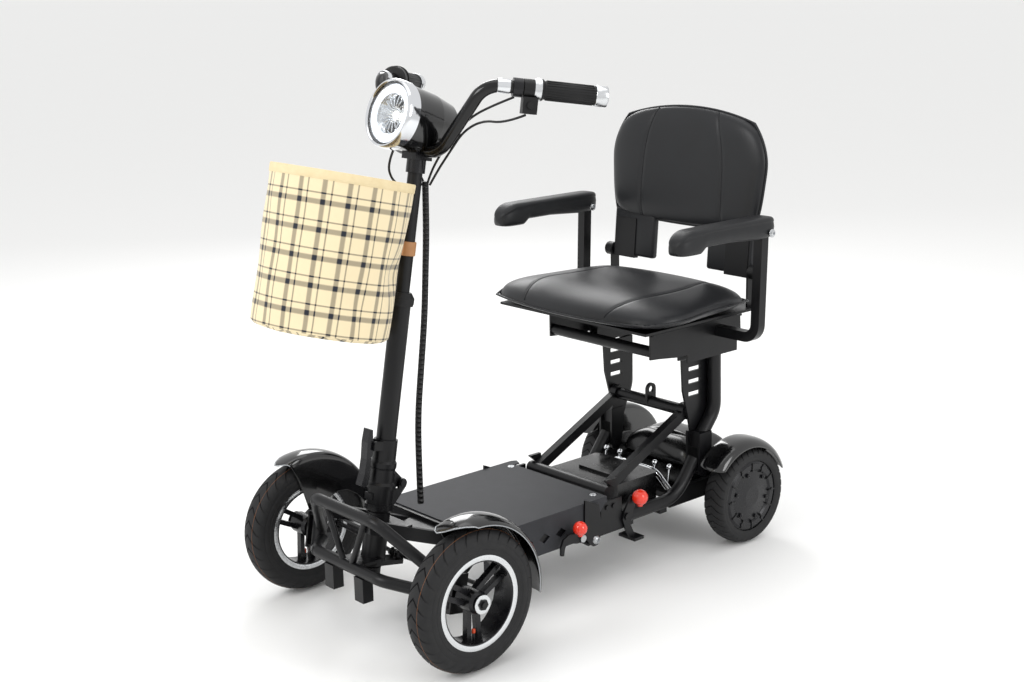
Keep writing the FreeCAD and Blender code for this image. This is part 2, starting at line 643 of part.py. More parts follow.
def make_front_rim(name, side):
    """A barrel with two lips, a hub and three pairs of spokes."""
    body = new_body(name, wheel_place(s.front_half_track * side, 0, s.front_tyre_dia / 2))
    lip, half = s.front_rim_dia / 2, s.front_tyre_width / 2
    seat = lip - 7.3
    wheel_turn(body, [(half - 3, lip - 11), (half - 3, lip), (half - 6, lip), (half - 6, seat),
                      (-half + 6, seat), (-half + 6, lip), (-half + 3, lip), (-half + 3, lip - 11)], "barrel")
    hub, long = s.front_hub_dia / 2, s.front_hub_length / 2
    wheel_turn(body, [(long, s.front_axle_dia / 2 + s.running_gap), (long, hub - 4), (long - 6, hub),
                      (-long + 6, hub), (-long, hub - 4), (-long, s.front_axle_dia / 2 + s.running_gap)], "hub")
    near, far = s.spoke_gap / 2, s.spoke_gap / 2 + s.spoke_width
    for turn in range(3):
        for sign in (1, -1):
            across = [(hub - 4, near * sign), (lip - 9, (near + 3) * sign), (lip - 9, (far + 3) * sign),
                      (hub - 8, far * sign)]
            cos, sin = math.cos(math.radians(120 * turn + 30)), math.sin(math.radians(120 * turn + 30))
            corners = [(r * cos - a * sin, r * sin + a * cos) for r, a in across]
            pad(body, "YZ_Plane", corners, 12, offset=-6, name=f"spoke_{turn}")
    return body


def make_rear_tyre(name, side):
    body = new_body(name, wheel_place(s.rear_half_track * side, s.wheelbase, s.rear_tyre_dia / 2))
    outer, half, bead = s.rear_tyre_dia / 2, s.rear_tyre_width / 2, s.hub_motor_dia / 2
    half_side = [(bead + 0.1, half - 4), (bead + 6, half - 1), (outer - 12, half), (outer - 5, half - 4),
                 (outer - 1, half - 12)]
    outline = [(x, r) for r, x in half_side]
    return wheel_turn(body, outline + [(0, outer)] + [(-x, r) for r, x in reversed(half_side)])


def make_hub_motor(name, side):
    """A wheel hub with its motor inside; it turns on the fixed axle."""
    body = new_body(name, wheel_place(s.rear_half_track * side, s.wheelbase, s.rear_tyre_dia / 2))
    outer, bore = s.hub_motor_dia / 2, s.rear_axle_dia / 2 + s.running_gap
    out = 1 * side
    wheel_turn(body, [(-22 * out, bore), (-22 * out, outer - 12), (-20 * out, outer), (20 * out, outer),
                      (23 * out, outer - 6), (23 * out, outer - 16), (20 * out, outer - 20),
                      (24 * out, 20), (24 * out, 0), (18 * out, 0), (18 * out, bore)])
    for i in range(6):
        angle = math.radians(60 * i)
        sketch = new_sketch(body, "YZ_Plane", 20 * out)
        add_circle(sketch, (outer - 11) * math.cos(angle), (outer - 11) * math.sin(angle), 3.5)
        screw = feature(body, "Pad", sketch, "screw")
        screw.Length = 5
        screw.Reversed = side < 0
    return body


def guard_band(outer, thick, start, stop, near, width, centre=(0, 0)):
    """A curved band about a wheel, from one angle to another, measured from rearward to up."""
    steps = range(start, stop + 1, 5)
    rim = [(outer, angle) for angle in steps] + [(outer - thick, angle) for angle in reversed(steps)]
    corners = [(near, centre[0] + radius * math.cos(math.radians(angle)),
                centre[1] + radius * math.sin(math.radians(angle))) for radius, angle in rim]
    return flat_prism(corners, Vector(width, 0, 0))


def make_front_fender(name, side):
    """A curved guard over the tyre with a flat inner wall that screws to the knuckle."""
    outer = float(s.front_tyre_dia) / 2 + 19.5
    band = guard_band(outer, 3, -8, 107, side * 19.3, side * 58)
    wall = flat_prism([(side * 19.3, y, z) for y, z in
                       ((-14, -14), (14, -14), (44, 40), (outer * 0.8, outer * 0.58),
                        (outer * 0.5, outer * 0.85), (0, outer * 0.985), (-14, 40))], Vector(side * 2.5, 0, 0))
    hole = rod(Vector(0, 0, 0), Vector(side * 40, 0, 0), 9.3)
    place = wheel_place(s.kingpin_half_track * side, 0, s.front_tyre_dia / 2)
    return keep_shape(name, band.fuse(wall).cut(hole), place)


def make_rear_fenders():
    """Both rear guards, each with an inner wall and a boss against the frame's side bar."""
    outer = float(s.rear_tyre_dia) / 2 + 24
    y, z = float(s.wheelbase) - 12, float(s.rear_tyre_dia) / 2 - 1
    band = guard_band(outer, 3, 20, 140, 148, 62, (y, z))
    wall = flat_prism([(148, y - 12, z + 16), (148, y + 40, z + 16), (148, y + 60, z + outer * 0.86),
                       (148, y, z + outer - 2), (148, y - 20, z + outer * 0.95)], Vector(3, 0, 0))
    boss = rod(Vector(118.1, y + 27, z + 22), Vector(150, y + 27, z + 22), 6)
    return keep_shape("rear_fenders", two_solids(band.multiFuse([wall, boss])))


# ---------------------------------------------------------------- tiller
def make_tiller_hinge_casting():
    """The upper half of the folding hinge: a stepped collar with a tongue round the fold pin."""
    low, top = float(s.hinge_parting) + 0.5, 165.0
    back, up = float(s.fold_pin_reach), float(s.fold_pin_rise)
    bore = float(s.tiller_tube_dia) / 2 + 0.05
    outline = [(0, 0, low), (27, 0, low), (27, 0, low + 7), (23, 0, low + 12), (22.5, 0, 130),
               (24, 0, 134), (24, 0, 142), (21.5, 0, 146), (20.8, 0, top), (0, 0, top)]
    shape = Part.Face(Part.makePolygon([Vector(*c) for c in outline + outline[:1]]))
    shape = shape.revolve(Vector(), PLUS_Z, 360)
    tongue = flat_prism([(-9, 10, low), (-9, back, up - 8), (-9, back + 8, up), (-9, back, up + 8),
                         (-9, 15, 132)], Vector(18, 0, 0))
    tongue = tongue.fuse(rod(Vector(-9, back, up), Vector(9, back, up), 8))
    ears = block((-14.5, -9.7), (-35, -12), (166, 182)).fuse(block((9.7, 14.5), (-35, -12), (166, 182)))
    collar = ring(Vector(0, 0, 150), Vector(0, 0, 184), 21.5, bore)
    shape = shape.multiFuse([tongue, ears, collar])
    for near, far in ((9.1, 40), (-40, -9.1)):
        shape = shape.cut(rod(Vector(near, back, up), Vector(far, back, up), float(s.hinge_lug_radius) + 0.9))
    shape = shape.cut(rod(Vector(-30, back, up), Vector(30, back, up), float(s.fold_pin_dia) / 2 + 0.05))
    shape = shape.cut(Part.makeCylinder(bore, 200, Vector(0, 0, 106)))
    shape = shape.fuse(rod(Vector(-14.5, -28, 174), Vector(14.5, -28, 174), 3))
    return keep_shape("tiller_hinge_casting", shape, STEER)


def make_tiller_tube():
    body = new_body("tiller_tube", STEER)
    outer, top = s.tiller_tube_dia / 2, s.tiller_tube_top
    revolve(body, [(outer - s.tiller_tube_wall, 106.1), (outer, 106.1), (outer, top - 16.1),
                   (outer - s.tiller_tube_wall, top - 16.1)])
    return body


def make_tiller_collar():
    """The stepped plastic collar that guides the sliding mast."""
    body = new_body("tiller_collar", STEER)
    outer, top = s.tiller_tube_dia / 2, s.tiller_tube_top
    mast = s.mast_dia / 2 + s.running_gap
    revolve(body, [(outer - s.tiller_tube_wall - 0.05, top - 46), (outer - s.tiller_tube_wall - 0.05, top - 16),
                   (outer + 3.5, top - 16), (outer + 5, top - 10), (outer + 5, top - 2), (outer + 2, top + 3),
                   (outer - 1, top + 8), (mast, top + 8), (mast, top - 46)])
    return body


def make_tiller_latch_lever():
    """The curved quick-release lever on the front of the hinge."""
    body = new_body("tiller_latch_lever", STEER)
    pad(body, "YZ_Plane", [(-50, 102), (-43, 99), (-36, 104), (-34, 118), (-35, 150), (-32, 164),
                           (-28, 166.5), (-23.5, 168), (-22.3, 174), (-23.5, 180), (-28, 181.5), (-35, 184),
                           (-38, 203), (-45, 204), (-47, 180), (-45, 150), (-46, 122)], 18, middle=True,
        holes=[(-28, 174, 3.05)], name="lever")
    return body


def make_mast_tube():
    body = new_body("mast_tube", STEER)
    outer = s.mast_dia / 2
    low, high = s.mast_bottom, s.bar_rise_height - 14
    revolve(body, [(outer - s.mast_wall, low), (outer, low), (outer, high), (outer - s.mast_wall, high)])
    return body


def bar_points():
    """The corners of the handlebar beside the steering axis, from the rider's right to left."""
    rise = float(s.bar_rise_height)
    outer = [Vector(float(s.bar_half_width), float(s.bar_sweep), float(s.bar_top)),
             Vector(148, 10, float(s.bar_top) - 3.5), Vector(62, 0, rise)]
    return [Vector(-p.x, p.y, p.z) for p in outer] + outer[::-1]


def bar_end(side):
    """A frame at one end of the handlebar: Z outward along the grip, X upward."""
    outer, corner = bar_points()[-1], bar_points()[-2]
    along = (outer - corner).normalize()
    along = Vector(side * along.x, along.y, along.z)
    up = (PLUS_Z - along * along.z).normalize()
    across = along.cross(up)
    turn = Rotation(up, across, along, "ZXY")
    return STEER.multiply(Placement(Vector(side * outer.x, outer.y, outer.z), turn))


def make_handlebar():
    shape = bent_tube(bar_points(), [45, 50, 50, 45], s.bar_dia)
    return keep_shape("handlebar", shape, STEER)


def make_handlebar_clamp():
    """The block that holds the bar on top of the mast."""
    rise = float(s.bar_rise_height)
    shape = block((-20, 20), (-18, 18), (rise - 17, rise + 17))
    shape = shape.fuse(Part.makeCylinder(17, 40, Vector(0, 0, rise - 40)))
    shape = shape.cut(rod(Vector(-40, 0, rise), Vector(40, 0, rise), float(s.bar_dia) / 2 + 0.05))
    shape = shape.cut(Part.makeCylinder(float(s.mast_dia) / 2 + 0.05, 46, Vector(0, 0, rise - 60)))
    bolts = [Part.makeCylinder(3, 3, Vector(x, y, rise + 16.9)) for x in (-14, 14) for y in (-12, 12)]
    return keep_shape("handlebar_clamp", shape.multiFuse(bolts), STEER)


def lamp_frame():
    """A frame in the headlamp's mouth: Z forward out of the lamp."""
    tilt = math.radians(float(s.tiller_rake) - 2.83)
    forward = Vector(0, -math.cos(tilt), math.sin(tilt))
    turn = Rotation(PLUS_X, forward.cross(PLUS_X), forward, "ZXY")
    return STEER.multiply(Placement(Vector(0, -float(s.lamp_reach), float(s.lamp_height)), turn))


def make_headlamp():
    """The bucket over the clamp, the bezel ring and the lens."""
    radius, length = s.lamp_dia / 2, s.lamp_length
    lens = new_body("headlamp_lens", lamp_frame())
    revolve(lens, [(0, -5), (radius - 6, -5), (radius - 6, -1), (radius - 20, 3), (0, 6)])
    bezel = new_body("headlamp_bezel", lamp_frame())
    revolve(bezel, [(radius - 5.9, -8), (radius, -8), (radius, -2), (radius - 2, 1), (radius - 5.9, 1)])
    r, deep = float(radius), float(length)
    outline = [(0, 0, -deep), (r * 0.42, 0, -deep), (r * 0.6, 0, -deep + 4), (r * 0.78, 0, -deep + 22),
               (r * 0.9, 0, -deep + 60), (r - 3, 0, -34), (r - 0.5, 0, -8.1), (r - 6, 0, -8.1),
               (r - 6, 0, -5.1), (r - 9, 0, -5.1), (r - 9, 0, -34), (r * 0.84, 0, -deep + 64),
               (r * 0.7, 0, -deep + 28), (r * 0.5, 0, -deep + 10), (0, 0, -deep + 6)]
    shell = Part.Face(Part.makePolygon([Vector(*c) for c in outline + outline[:1]]))
    shell = shell.revolve(Vector(), PLUS_Z, 360)
    rise = float(s.bar_rise_height)
    saddle = block((-20.1, 20.1), (-18.1, 18.1), (rise - 30, rise + 17.1))
    for x in (-14, 14):
        for y in (-12, 12):
            saddle = saddle.fuse(Part.makeCylinder(3.4, 12, Vector(x, y, rise + 10)))
    to_lamp = lamp_frame().inverse().multiply(STEER)
    saddle = saddle.fuse(rod(Vector(-62, 0, rise), Vector(62, 0, rise), float(s.bar_dia) / 2 + 0.5))
    saddle.Placement = to_lamp
    return keep_shape("headlamp_bucket", shell.cut(saddle), lamp_frame())


def make_basket():
    """A round open basket, its strap and the rim hoop are one shell with a floor."""
    top, low = float(s.basket_rim_height), float(s.basket_rim_height) - float(s.basket_depth)
    reach = float(s.basket_reach)
    top_r, low_r = float(s.basket_top_dia) / 2, float(s.basket_bottom_dia) / 2
    wall = float(s.basket_wall)
    start, end = Vector(0, -reach - 15.7, low), Vector(0, -reach, top)
    along = end - start
    turn = Rotation(PLUS_Z, along)
    tall = along.Length
    outer = Part.makeCone(low_r, top_r, tall)
    inner = Part.makeCone(low_r - wall, top_r - wall, tall, Vector(0, 0, 4))
    rim = ring(Vector(0, 0, tall - 5), Vector(0, 0, tall), top_r + 1.5, top_r - wall)
    shell = outer.fuse(rim).cut(inner).cut(Part.makeCylinder(top_r - wall, 10, Vector(0, 0, tall - 5)))
    return keep_shape("basket", shell, STEER.multiply(Placement(start, turn)))


def make_basket_strap():
    """The band that ties the basket to the mast."""
    mast = float(s.mast_dia) / 2 + 0.05
    loop = ring(Vector(0, 0, 513), Vector(0, 0, 538), mast + 3, mast)
    wall_back = float(s.basket_reach) - float(s.basket_top_dia) / 2 + 8
    tail = block((-9, 9), (-wall_back + 0.4, -mast - 1), (513, 538))
    tail = tail.cut(make_basket_core())
    return keep_shape("basket_strap", loop.fuse(tail), STEER)


def make_basket_core():
    """The space the basket fills, for pieces that stand against it."""
    top, low = float(s.basket_rim_height), float(s.basket_rim_height) - float(s.basket_depth)
    start, end = Vector(0, -float(s.basket_reach) - 15.7, low), Vector(0, -float(s.basket_reach), top)
    cone = Part.makeCone(float(s.basket_bottom_dia) / 2 + 0.1, float(s.basket_top_dia) / 2 + 0.1,
                         (end - start).Length)
    cone.Placement = Placement(start, Rotation(PLUS_Z, end - start))
    return cone


def make_grip_left():
    body = new_body("grip_left", bar_end(1))
    outer, long = s.grip_dia / 2, s.grip_length
    bar = s.bar_dia / 2 + 0.05
    revolve(body, [(bar, -long), (outer + 2, -long), (outer + 2, -long + 6), (outer - 1, -long + 9),
                   (outer, -long / 2), (outer - 1, -8), (outer + 1, -5), (outer + 1, 4), (0, 6), (0, 0.1),
                   (bar, 0.1)])
    return body


def make_throttle_grip():
    """The turning grip on the rider's right with its wide round flange."""
    body = new_body("throttle_grip", bar_end(-1))
    outer, long = s.grip_dia / 2, s.grip_length
    bar = s.bar_dia / 2 + s.running_gap
    revolve(body, [(bar, -long), (outer + 9, -long), (outer + 9, -long + 4), (outer + 2, -long + 8),
                   (outer - 1, -long + 12), (outer, -long / 2), (outer - 1, -8), (outer + 1, -5),
                   (outer + 1, 4), (0, 6), (0, 0.3), (bar, 0.3)])
    return body


def make_throttle_housing():
    body = new_body("throttle_housing", bar_end(-1))
    long = -s.grip_length
    bar = s.bar_dia / 2 + 0.05
    revolve(body, [(bar, long - 18), (22, long - 18), (24, long - 15), (24, long - 2), (22, long - 0.5),
                   (bar, long - 0.5)])
    return body


def make_switch_pod():
    """The small housing under the bar on the rider's left with the horn button's well."""
    long = -float(s.grip_length)
    bar = float(s.bar_dia) / 2 + 0.05
    shape = ring(Vector(0, 0, long - 26), Vector(0, 0, long - 1), bar + 5, bar)
    body = block((-42, -14), (-14, 14), (long - 26, long - 1))
    well = rod(Vector(-28, 10, long - 13.5), Vector(-28, 20, long - 13.5), 6.3)
    shape = shape.fuse(body).cut(well)
    shape = shape.cut(rod(Vector(0, 0, long - 40), Vector(0, 0, long + 20), bar))
    return keep_shape("switch_pod", shape, bar_end(1))


def make_horn_button():
    long = -float(s.grip_length)
    shape = rod(Vector(-28, 12.4, long - 13.5), Vector(-28, 18, long - 13.5), 6)
    return keep_shape("horn_button", shape, bar_end(1))


def make_brake_perch():
    """The clamp of the brake lever, with the two ears the lever turns between."""
    long = -float(s.grip_length)
    bar = float(s.bar_dia) / 2 + 0.05
    shape = ring(Vector(0, 0, long - 44), Vector(0, 0, long - 28), bar + 5, bar)
    arm = block((-7, 7), (-36, -12), (long - 44, long - 28))
    shape = shape.fuse(arm).cut(rod(Vector(0, 0, long - 60), Vector(0, 0, long), bar))
    shape = shape.cut(block((-3.3, 3.3), (-60, -22), (long - 60, long)))
    pin = rod(Vector(-7, -30, long - 34), Vector(7, -30, long - 34), 2.5)
    return keep_shape("brake_perch", shape.fuse(pin), bar_end(1))


def make_brake_lever():
    """The shiny lever in front of the left grip, with a ball at its tip."""
    long = -float(s.grip_length)
    blade = flat_prism([(-3, -26, long - 38), (-3, -26, long - 30), (-3, -34, long - 24),
                        (-3, -40, long + 8), (-3, -42, long + 60), (-3, -50, long + 112),
                        (-3, -57, long + 112), (-3, -52, long + 60), (-3, -50, long + 6),
                        (-3, -44, long - 38)], Vector(6, 0, 0))
    blade = blade.fuse(Part.makeSphere(8, Vector(0, -54, long + 114)))
    blade = blade.cut(rod(Vector(-10, -30, long - 34), Vector(10, -30, long - 34), 2.55))
    return keep_shape("brake_lever", blade, bar_end(1))


def make_wiring_loom():
    """The black sleeve of wires from the headlamp down behind the mast to the deck."""
    points = [Vector(4, 126, 800), Vector(6, 122, 700), Vector(6, 112, 560), Vector(2, 92, 380),
              Vector(0, 92, 210)]
    bends = []
    for i in range(1, len(points) - 1):
        back, ahead = points[i - 1] - points[i], points[i + 1] - points[i]
        half_turn = (math.pi - back.getAngle(ahead)) / 2
        radius = 0.45 * min(back.Length, ahead.Length) / math.tan(half_turn)
        bends.append(min(radius, 900))
    print("loom bends", [round(radius) for radius in bends], "length", round(bent_path(points, bends).Length))
    return keep_shape("wiring_loom", bent_tube(points, bends, s.loom_dia))


# ---------------------------------------------------------------- rear frame and drive
def make_rear_frame():
    """Two main tubes with the hinge lugs, cross members, side bars, cradle and seat hinge bosses."""
    y, z = float(s.mid_hinge_y), float(s.mid_hinge_z)
    hy, hz = float(s.seat_hinge_y), float(s.seat_hinge_z)
    x, tube_z = float(s.main_tube_x), float(s.main_tube_z)
    radius = float(s.main_tube_dia) / 2
    path = [Vector(x, y + 21, tube_z), Vector(x, 640, tube_z + 2), Vector(x, hy - 10, hz + 22)]
    tube = bent_tube(path, [80], s.main_tube_dia)
    lug = float(s.mid_lug_width) / 2
    eye = rod(Vector(x - lug, y, z), Vector(x + lug, y, z), 14)
    tongue = flat_prism([(x - lug, y, z - 13), (x - lug, y + 50, tube_z - 10), (x - lug, y + 50, tube_z + 10),
                         (x - lug, y + 6, z + 13)], Vector(2 * lug, 0, 0))
    boss = rod(Vector(x - radius - 0.7, hy, hz), Vector(x + radius + 0.7, hy, hz), 13)
    bar = block((x - 19, x - 7), (632, float(s.wheelbase) + 26), (92, 128))
    axle = float(s.rear_axle_dia) / 2
    side_plate = block((x + 11, x + 17), (y + 20, y + 76), (tube_z - 14, tube_z + 52))
    side_plate = side_plate.fuse(block((x + 11, x + 17), (y + 20, y + 97), (tube_z - 14, tube_z + 22)))
    stud = rod(Vector(x + 16, 480, 122), Vector(x + 25, 480, 122), 4)
    stud = stud.fuse(rod(Vector(x + 16, 480, 122), Vector(x + 17.7, 480, 122), 8))
    stud = stud.fuse(rod(Vector(x + 22.8, 480, 122), Vector(x + 26, 480, 122), 7))
    fy, fz = float(s.strut_foot_y), float(s.strut_foot_z)
    slope = math.radians(41.4)
    cradle = flat_prism([(x - 19, fy - 26, tube_z - 6), (x - 19, fy - 26, fz - 8), (x - 19, fy - 6, fz + 26),
                         (x - 19, fy + 22, fz + 26), (x - 19, fy + 30, tube_z - 6)], Vector(7, 0, 0))
    way = Vector(0, -math.cos(slope), math.sin(slope))
    across = Vector(0, math.sin(slope), math.cos(slope)) * (float(s.main_tube_dia) / 2 + 0.4)
    centre = Vector(x - 25, fy, fz)
    corners = [centre + across, centre + across + way * 60, centre - across + way * 60, centre - across]
    slot = flat_prism([tuple(c) for c in corners], Vector(20, 0, 0))
    slot = slot.fuse(rod(centre, centre + PLUS_X * 20, float(s.main_tube_dia) / 2 + 0.4))
    side = tube.multiFuse([eye, tongue, boss, bar, side_plate, stud, cradle.cut(slot)])
    bolts = [rod(Vector(x + 16, by, 151), Vector(x + 20, by, 151), 5) for by in (431, 449)]
    side = mirror_pair(side.multiFuse(bolts))
    cross = [rod(Vector(-x, 440, tube_z), Vector(x, 440, tube_z), 9)]
    under = float(s.battery_bottom)
    for start in (500, 596):
        cross.append(block((-x, x), (start, start + 20), (under - 10, under - 0.3)))
        for way_x in (-x, x - 10):
            cross.append(block((way_x, way_x + 10), (start, start + 20), (under - 10, tube_z)))
    cross.append(block((-x + 10, x - 10), (666, 690), (92, 104)))
    frame = side.multiFuse(cross)
    wheel = float(s.wheelbase)
    axle_z = float(s.rear_tyre_dia) / 2
    holes = [rod(Vector(-160, y, z), Vector(160, y, z), float(s.mid_pin_dia) / 2 + float(s.running_gap)),
             rod(Vector(-160, hy, hz), Vector(160, hy, hz), float(s.seat_pin_dia) / 2 + float(s.running_gap)),
             rod(Vector(-160, wheel, axle_z), Vector(160, wheel, axle_z), axle + float(s.running_gap))]
    for hole in holes:
        frame = frame.cut(hole)
    return keep_shape("rear_frame", frame)


def make_rear_axle():
    wheel, height = float(s.wheelbase), float(s.rear_tyre_dia) / 2
    stub = rod(Vector(float(s.main_tube_x) - 21, wheel, height), Vector(196, wheel, height),
               float(s.rear_axle_dia) / 2)
    collar = rod(Vector(118.1, wheel, height), Vector(157.5, wheel, height), 11)
    return keep_shape("rear_axle", two_solids(stub.fuse(collar)))


def rounded_block(body, x_half, front, rear, low, high, radius, name):
    """A block with its upright edges rounded off by short flats."""
    r = radius
    pad(body, "XY_Plane", [(-x_half + r, front), (x_half - r, front), (x_half, front + r), (x_half, rear - r),
                           (x_half - r, rear), (-x_half + r, rear), (-x_half, rear - r), (-x_half, front + r)],
        high - low, offset=low, name=name)


def make_battery_case():
    body = new_body("battery_case")
    half, front, low = s.battery_width / 2, s.battery_front, s.battery_bottom
    rear, high = front + s.battery_length, low + s.battery_height
    rounded_block(body, half, front, rear, low, high, 8, "case")
    pad(body, "XY_Plane", [(-46, front + 55), (46, front + 55), (46, front + 75), (-46, front + 75)], 5,
        offset=high, name="handle")
    return body


def make_drive_housing():
    body = new_body("drive_housing")
    half, front, rear = s.drive_half_width, s.drive_front, s.drive_rear
    rounded_block(body, half, front, rear, s.drive_bottom, s.drive_split, 12, "tub")
    return body


def make_drive_cover():
    """The moulded lid over the controller and wiring, with its raised hump."""
    body = new_body("drive_cover")
    half, front, rear = s.drive_half_width, s.drive_front, s.drive_rear
    low, top = s.drive_split + 0.2, s.drive_top
    pad(body, "YZ_Plane", [(front + 8, low), (rear, low), (rear, top - 24), (rear - 14, top - 10),
                           (rear - 60, top - 22), (rear - 104, top - 38), (front + 8, top - 46)],
        half * 2 - 8, middle=True, name="lid")
    pad(body, "YZ_Plane", [(rear - 70, low), (rear - 6, low), (rear - 8, top - 8), (rear - 24, top),
                           (rear - 58, top - 12)], half, middle=True, name="hump")
    return body


def make_guard_bar():
    """The bright arch ahead of the drive with four ball studs on top."""
    points = [Vector(-102.4, 651, 118), Vector(-58, 655, 151), Vector(58, 655, 151), Vector(102.4, 651, 118)]
    shape = bent_tube(points, [50, 50], 13)
    for x in (-90, -50, 50, 90):
        low = 127 if abs(x) > 60 else 149
        shape = shape.fuse(rod(Vector(x, 656, low), Vector(x, 660, 164), 2.5))
        shape = shape.fuse(Part.makeSphere(6, Vector(x, 660.5, 166)))
    return keep_shape("guard_bar", shape)


def make_seat_latch():
    """The foot pedal and round knob that free the seat's strut frame."""
    outline = [(-12, -4), (-6, 12), (12, 40), (30, 36), (12, -6), (10, -20), (22, -44), (10, -50), (-4, -24)]
    plate = flat_prism([(142.9, 480 + y, 122 + z) for y, z in outline], Vector(4.5, 0, 0))
    pedal = block((116, 160), (488, 514), (71, 77))
    knob = Part.makeSphere(15, Vector(161, 502, 159))
    shape = plate.fuse(pedal).fuse(knob)
    return keep_shape("seat_latch", shape.cut(rod(Vector(130, 480, 122), Vector(170, 480, 122), 4.05)))


# ---------------------------------------------------------------- seat
def make_seat_support():
    """The folding tower: ears on the lower hinge, bent tubes, slotted plates and two channels."""
    hy, hz = float(s.seat_hinge_y), float(s.seat_hinge_z)
    x, radius = float(s.main_tube_x), float(s.seat_tube_dia) / 2
    low = float(s.channel_bottom)
    ears = None
    for near in (x - 19, x + 14):
        ear = flat_prism([(near, hy - 14, hz), (near, hy - 14, hz + 78), (near, hy + 22, hz + 78),
                          (near, hy + 22, hz + 40), (near, hy + 14, hz)], Vector(5, 0, 0))
        ear = ear.fuse(rod(Vector(near, hy, hz), Vector(near + 5, hy, hz), 14))
        ears = ear if ears is None else ears.fuse(ear)
    end = block((x - 19, x + 19), (hy - 6, hy + 22), (hz + 45, hz + 78))
    tube = bent_tube([Vector(x, hy + 8, hz + 64), Vector(x, hy + 50, hz + 114), Vector(x, hy + 48, low + 3)],
                     [50], s.seat_tube_dia)
    plate_x = float(s.support_plate_x) - 2
    plate = flat_prism([(plate_x, y, z) for y, z in
                        ((672, 391), (676, 326), (691, 272), (704, 215), (728, 215), (746, 262), (758, 313),
                         (758, 391))], Vector(5, 0, 0))
    for z in (312, 338, 364):
        plate = plate.cut(block((plate_x - 1, plate_x + 6), (692, 726), (z, z + 9)))
    outer = block((x - 14, x + 14), (hy - 46, hy + 102), (low, low + 34))
    wall = float(s.channel_wall)
    inner = block((x - 14 + wall, x + 14 - wall), (hy - 50, hy + 106), (low - 1, low + 34 - wall))
    pin = rod(Vector(x - 21, hy, hz), Vector(x + 22, hy, hz), float(s.seat_pin_dia) / 2)
    head = rod(Vector(x + 19, hy, hz), Vector(x + 22, hy, hz), 8)
    side = ears.multiFuse([end, tube, plate, outer.cut(inner), pin, head])
    cy, cz = float(s.crossbar_y), float(s.crossbar_z)
    cross = rod(Vector(-x + 15, cy, cz), Vector(x - 15, cy, cz), float(s.crossbar_dia) / 2)
    tab = rod(Vector(-3, cy, cz + 27), Vector(3, cy, cz + 27), 13).fuse(block((-3, 3), (cy - 13, cy + 13), (cz, cz + 27)))
    tab = tab.cut(rod(Vector(-9, cy, cz + 27), Vector(9, cy, cz + 27), 7))
    return keep_shape("seat_support", mirror_pair(side).multiFuse([cross, tab]))


def make_strut_frame():
    """Two flat struts from the crossbar down to a tube that rests in the cradle."""
    x, half = float(s.strut_x), float(s.strut_size) / 2
    cy, cz = float(s.crossbar_y), float(s.crossbar_z)
    fy, fz = float(s.strut_foot_y), float(s.strut_foot_z)
    along = Vector(0, cy - fy, cz - fz).normalize()
    across = Vector(0, -along.z, along.y) * (half + 2)
    top, foot = Vector(x - half, cy, cz), Vector(x - half, fy, fz)
    strut = flat_prism([tuple(p) for p in (foot + across, top + across, top - across, foot - across)],
                       Vector(2 * half, 0, 0))
    eye = rod(Vector(x - half, cy, cz), Vector(x + half, cy, cz), 17)
    side = strut.fuse(eye)
    hole = rod(Vector(-150, cy, cz), Vector(150, cy, cz), float(s.crossbar_dia) / 2 + float(s.running_gap))
    tube = rod(Vector(-x - 17, fy, fz), Vector(x + 17, fy, fz), float(s.main_tube_dia) / 2)
    return keep_shape("strut_frame", mirror_pair(side).cut(hole).fuse(tube))


def make_seat_base():
    """Two side plates, the front bar, and the lower rails the seat slides on."""
    x = float(s.main_tube_x) + 14.1
    low = float(s.channel_bottom)
    plate = flat_prism([(x, y, z) for y, z in
                        ((550, 470), (550, low + 27), (574, low + 25), (630, low + 18), (735, low + 22),
                         (814, low + 40), (812, 470))], Vector(4, 0, 0))
    shelf = block((x - 14, x + 10), (552, 810), (466, 470))
    rail = block((x - 8, x + 6), (556, 800), (469, 484))
    bar = rod(Vector(0, 562, low + 40), Vector(x + 1, 562, low + 40), 11)
    back = block((0, x + 1), (786, 800), (450, 468))
    return keep_shape("seat_base", mirror_pair(plate.multiFuse([shelf, rail, bar, back])))


def make_armrest_posts():
    """Square posts: in from the base plates, round a bend and up to the armrest pins."""
    half = float(s.arm_post) / 2
    x, y, top = float(s.arm_x), 744.0, float(s.arm_pivot_z) + 10
    inner = float(s.main_tube_x) + 18.2
    path = bent_path([Vector(inner, y, 447), Vector(x, y, 447), Vector(x, y + 8, top)], [26])
    square = Part.makePolygon([Vector(inner, y + a * half, 447 + b * half)
                               for a, b in ((-1, -1), (1, -1), (1, 1), (-1, 1), (-1, -1))])
    post = path.makePipeShell([square], True, False)
    pivot = Vector(0, float(s.arm_pivot_y), float(s.arm_pivot_z))
    pin = rod(pivot + PLUS_X * (x - 26), pivot + PLUS_X * (x + 26), float(s.arm_pin_dia) / 2)
    return keep_shape("armrest_posts", two_solids(post.fuse(pin)))


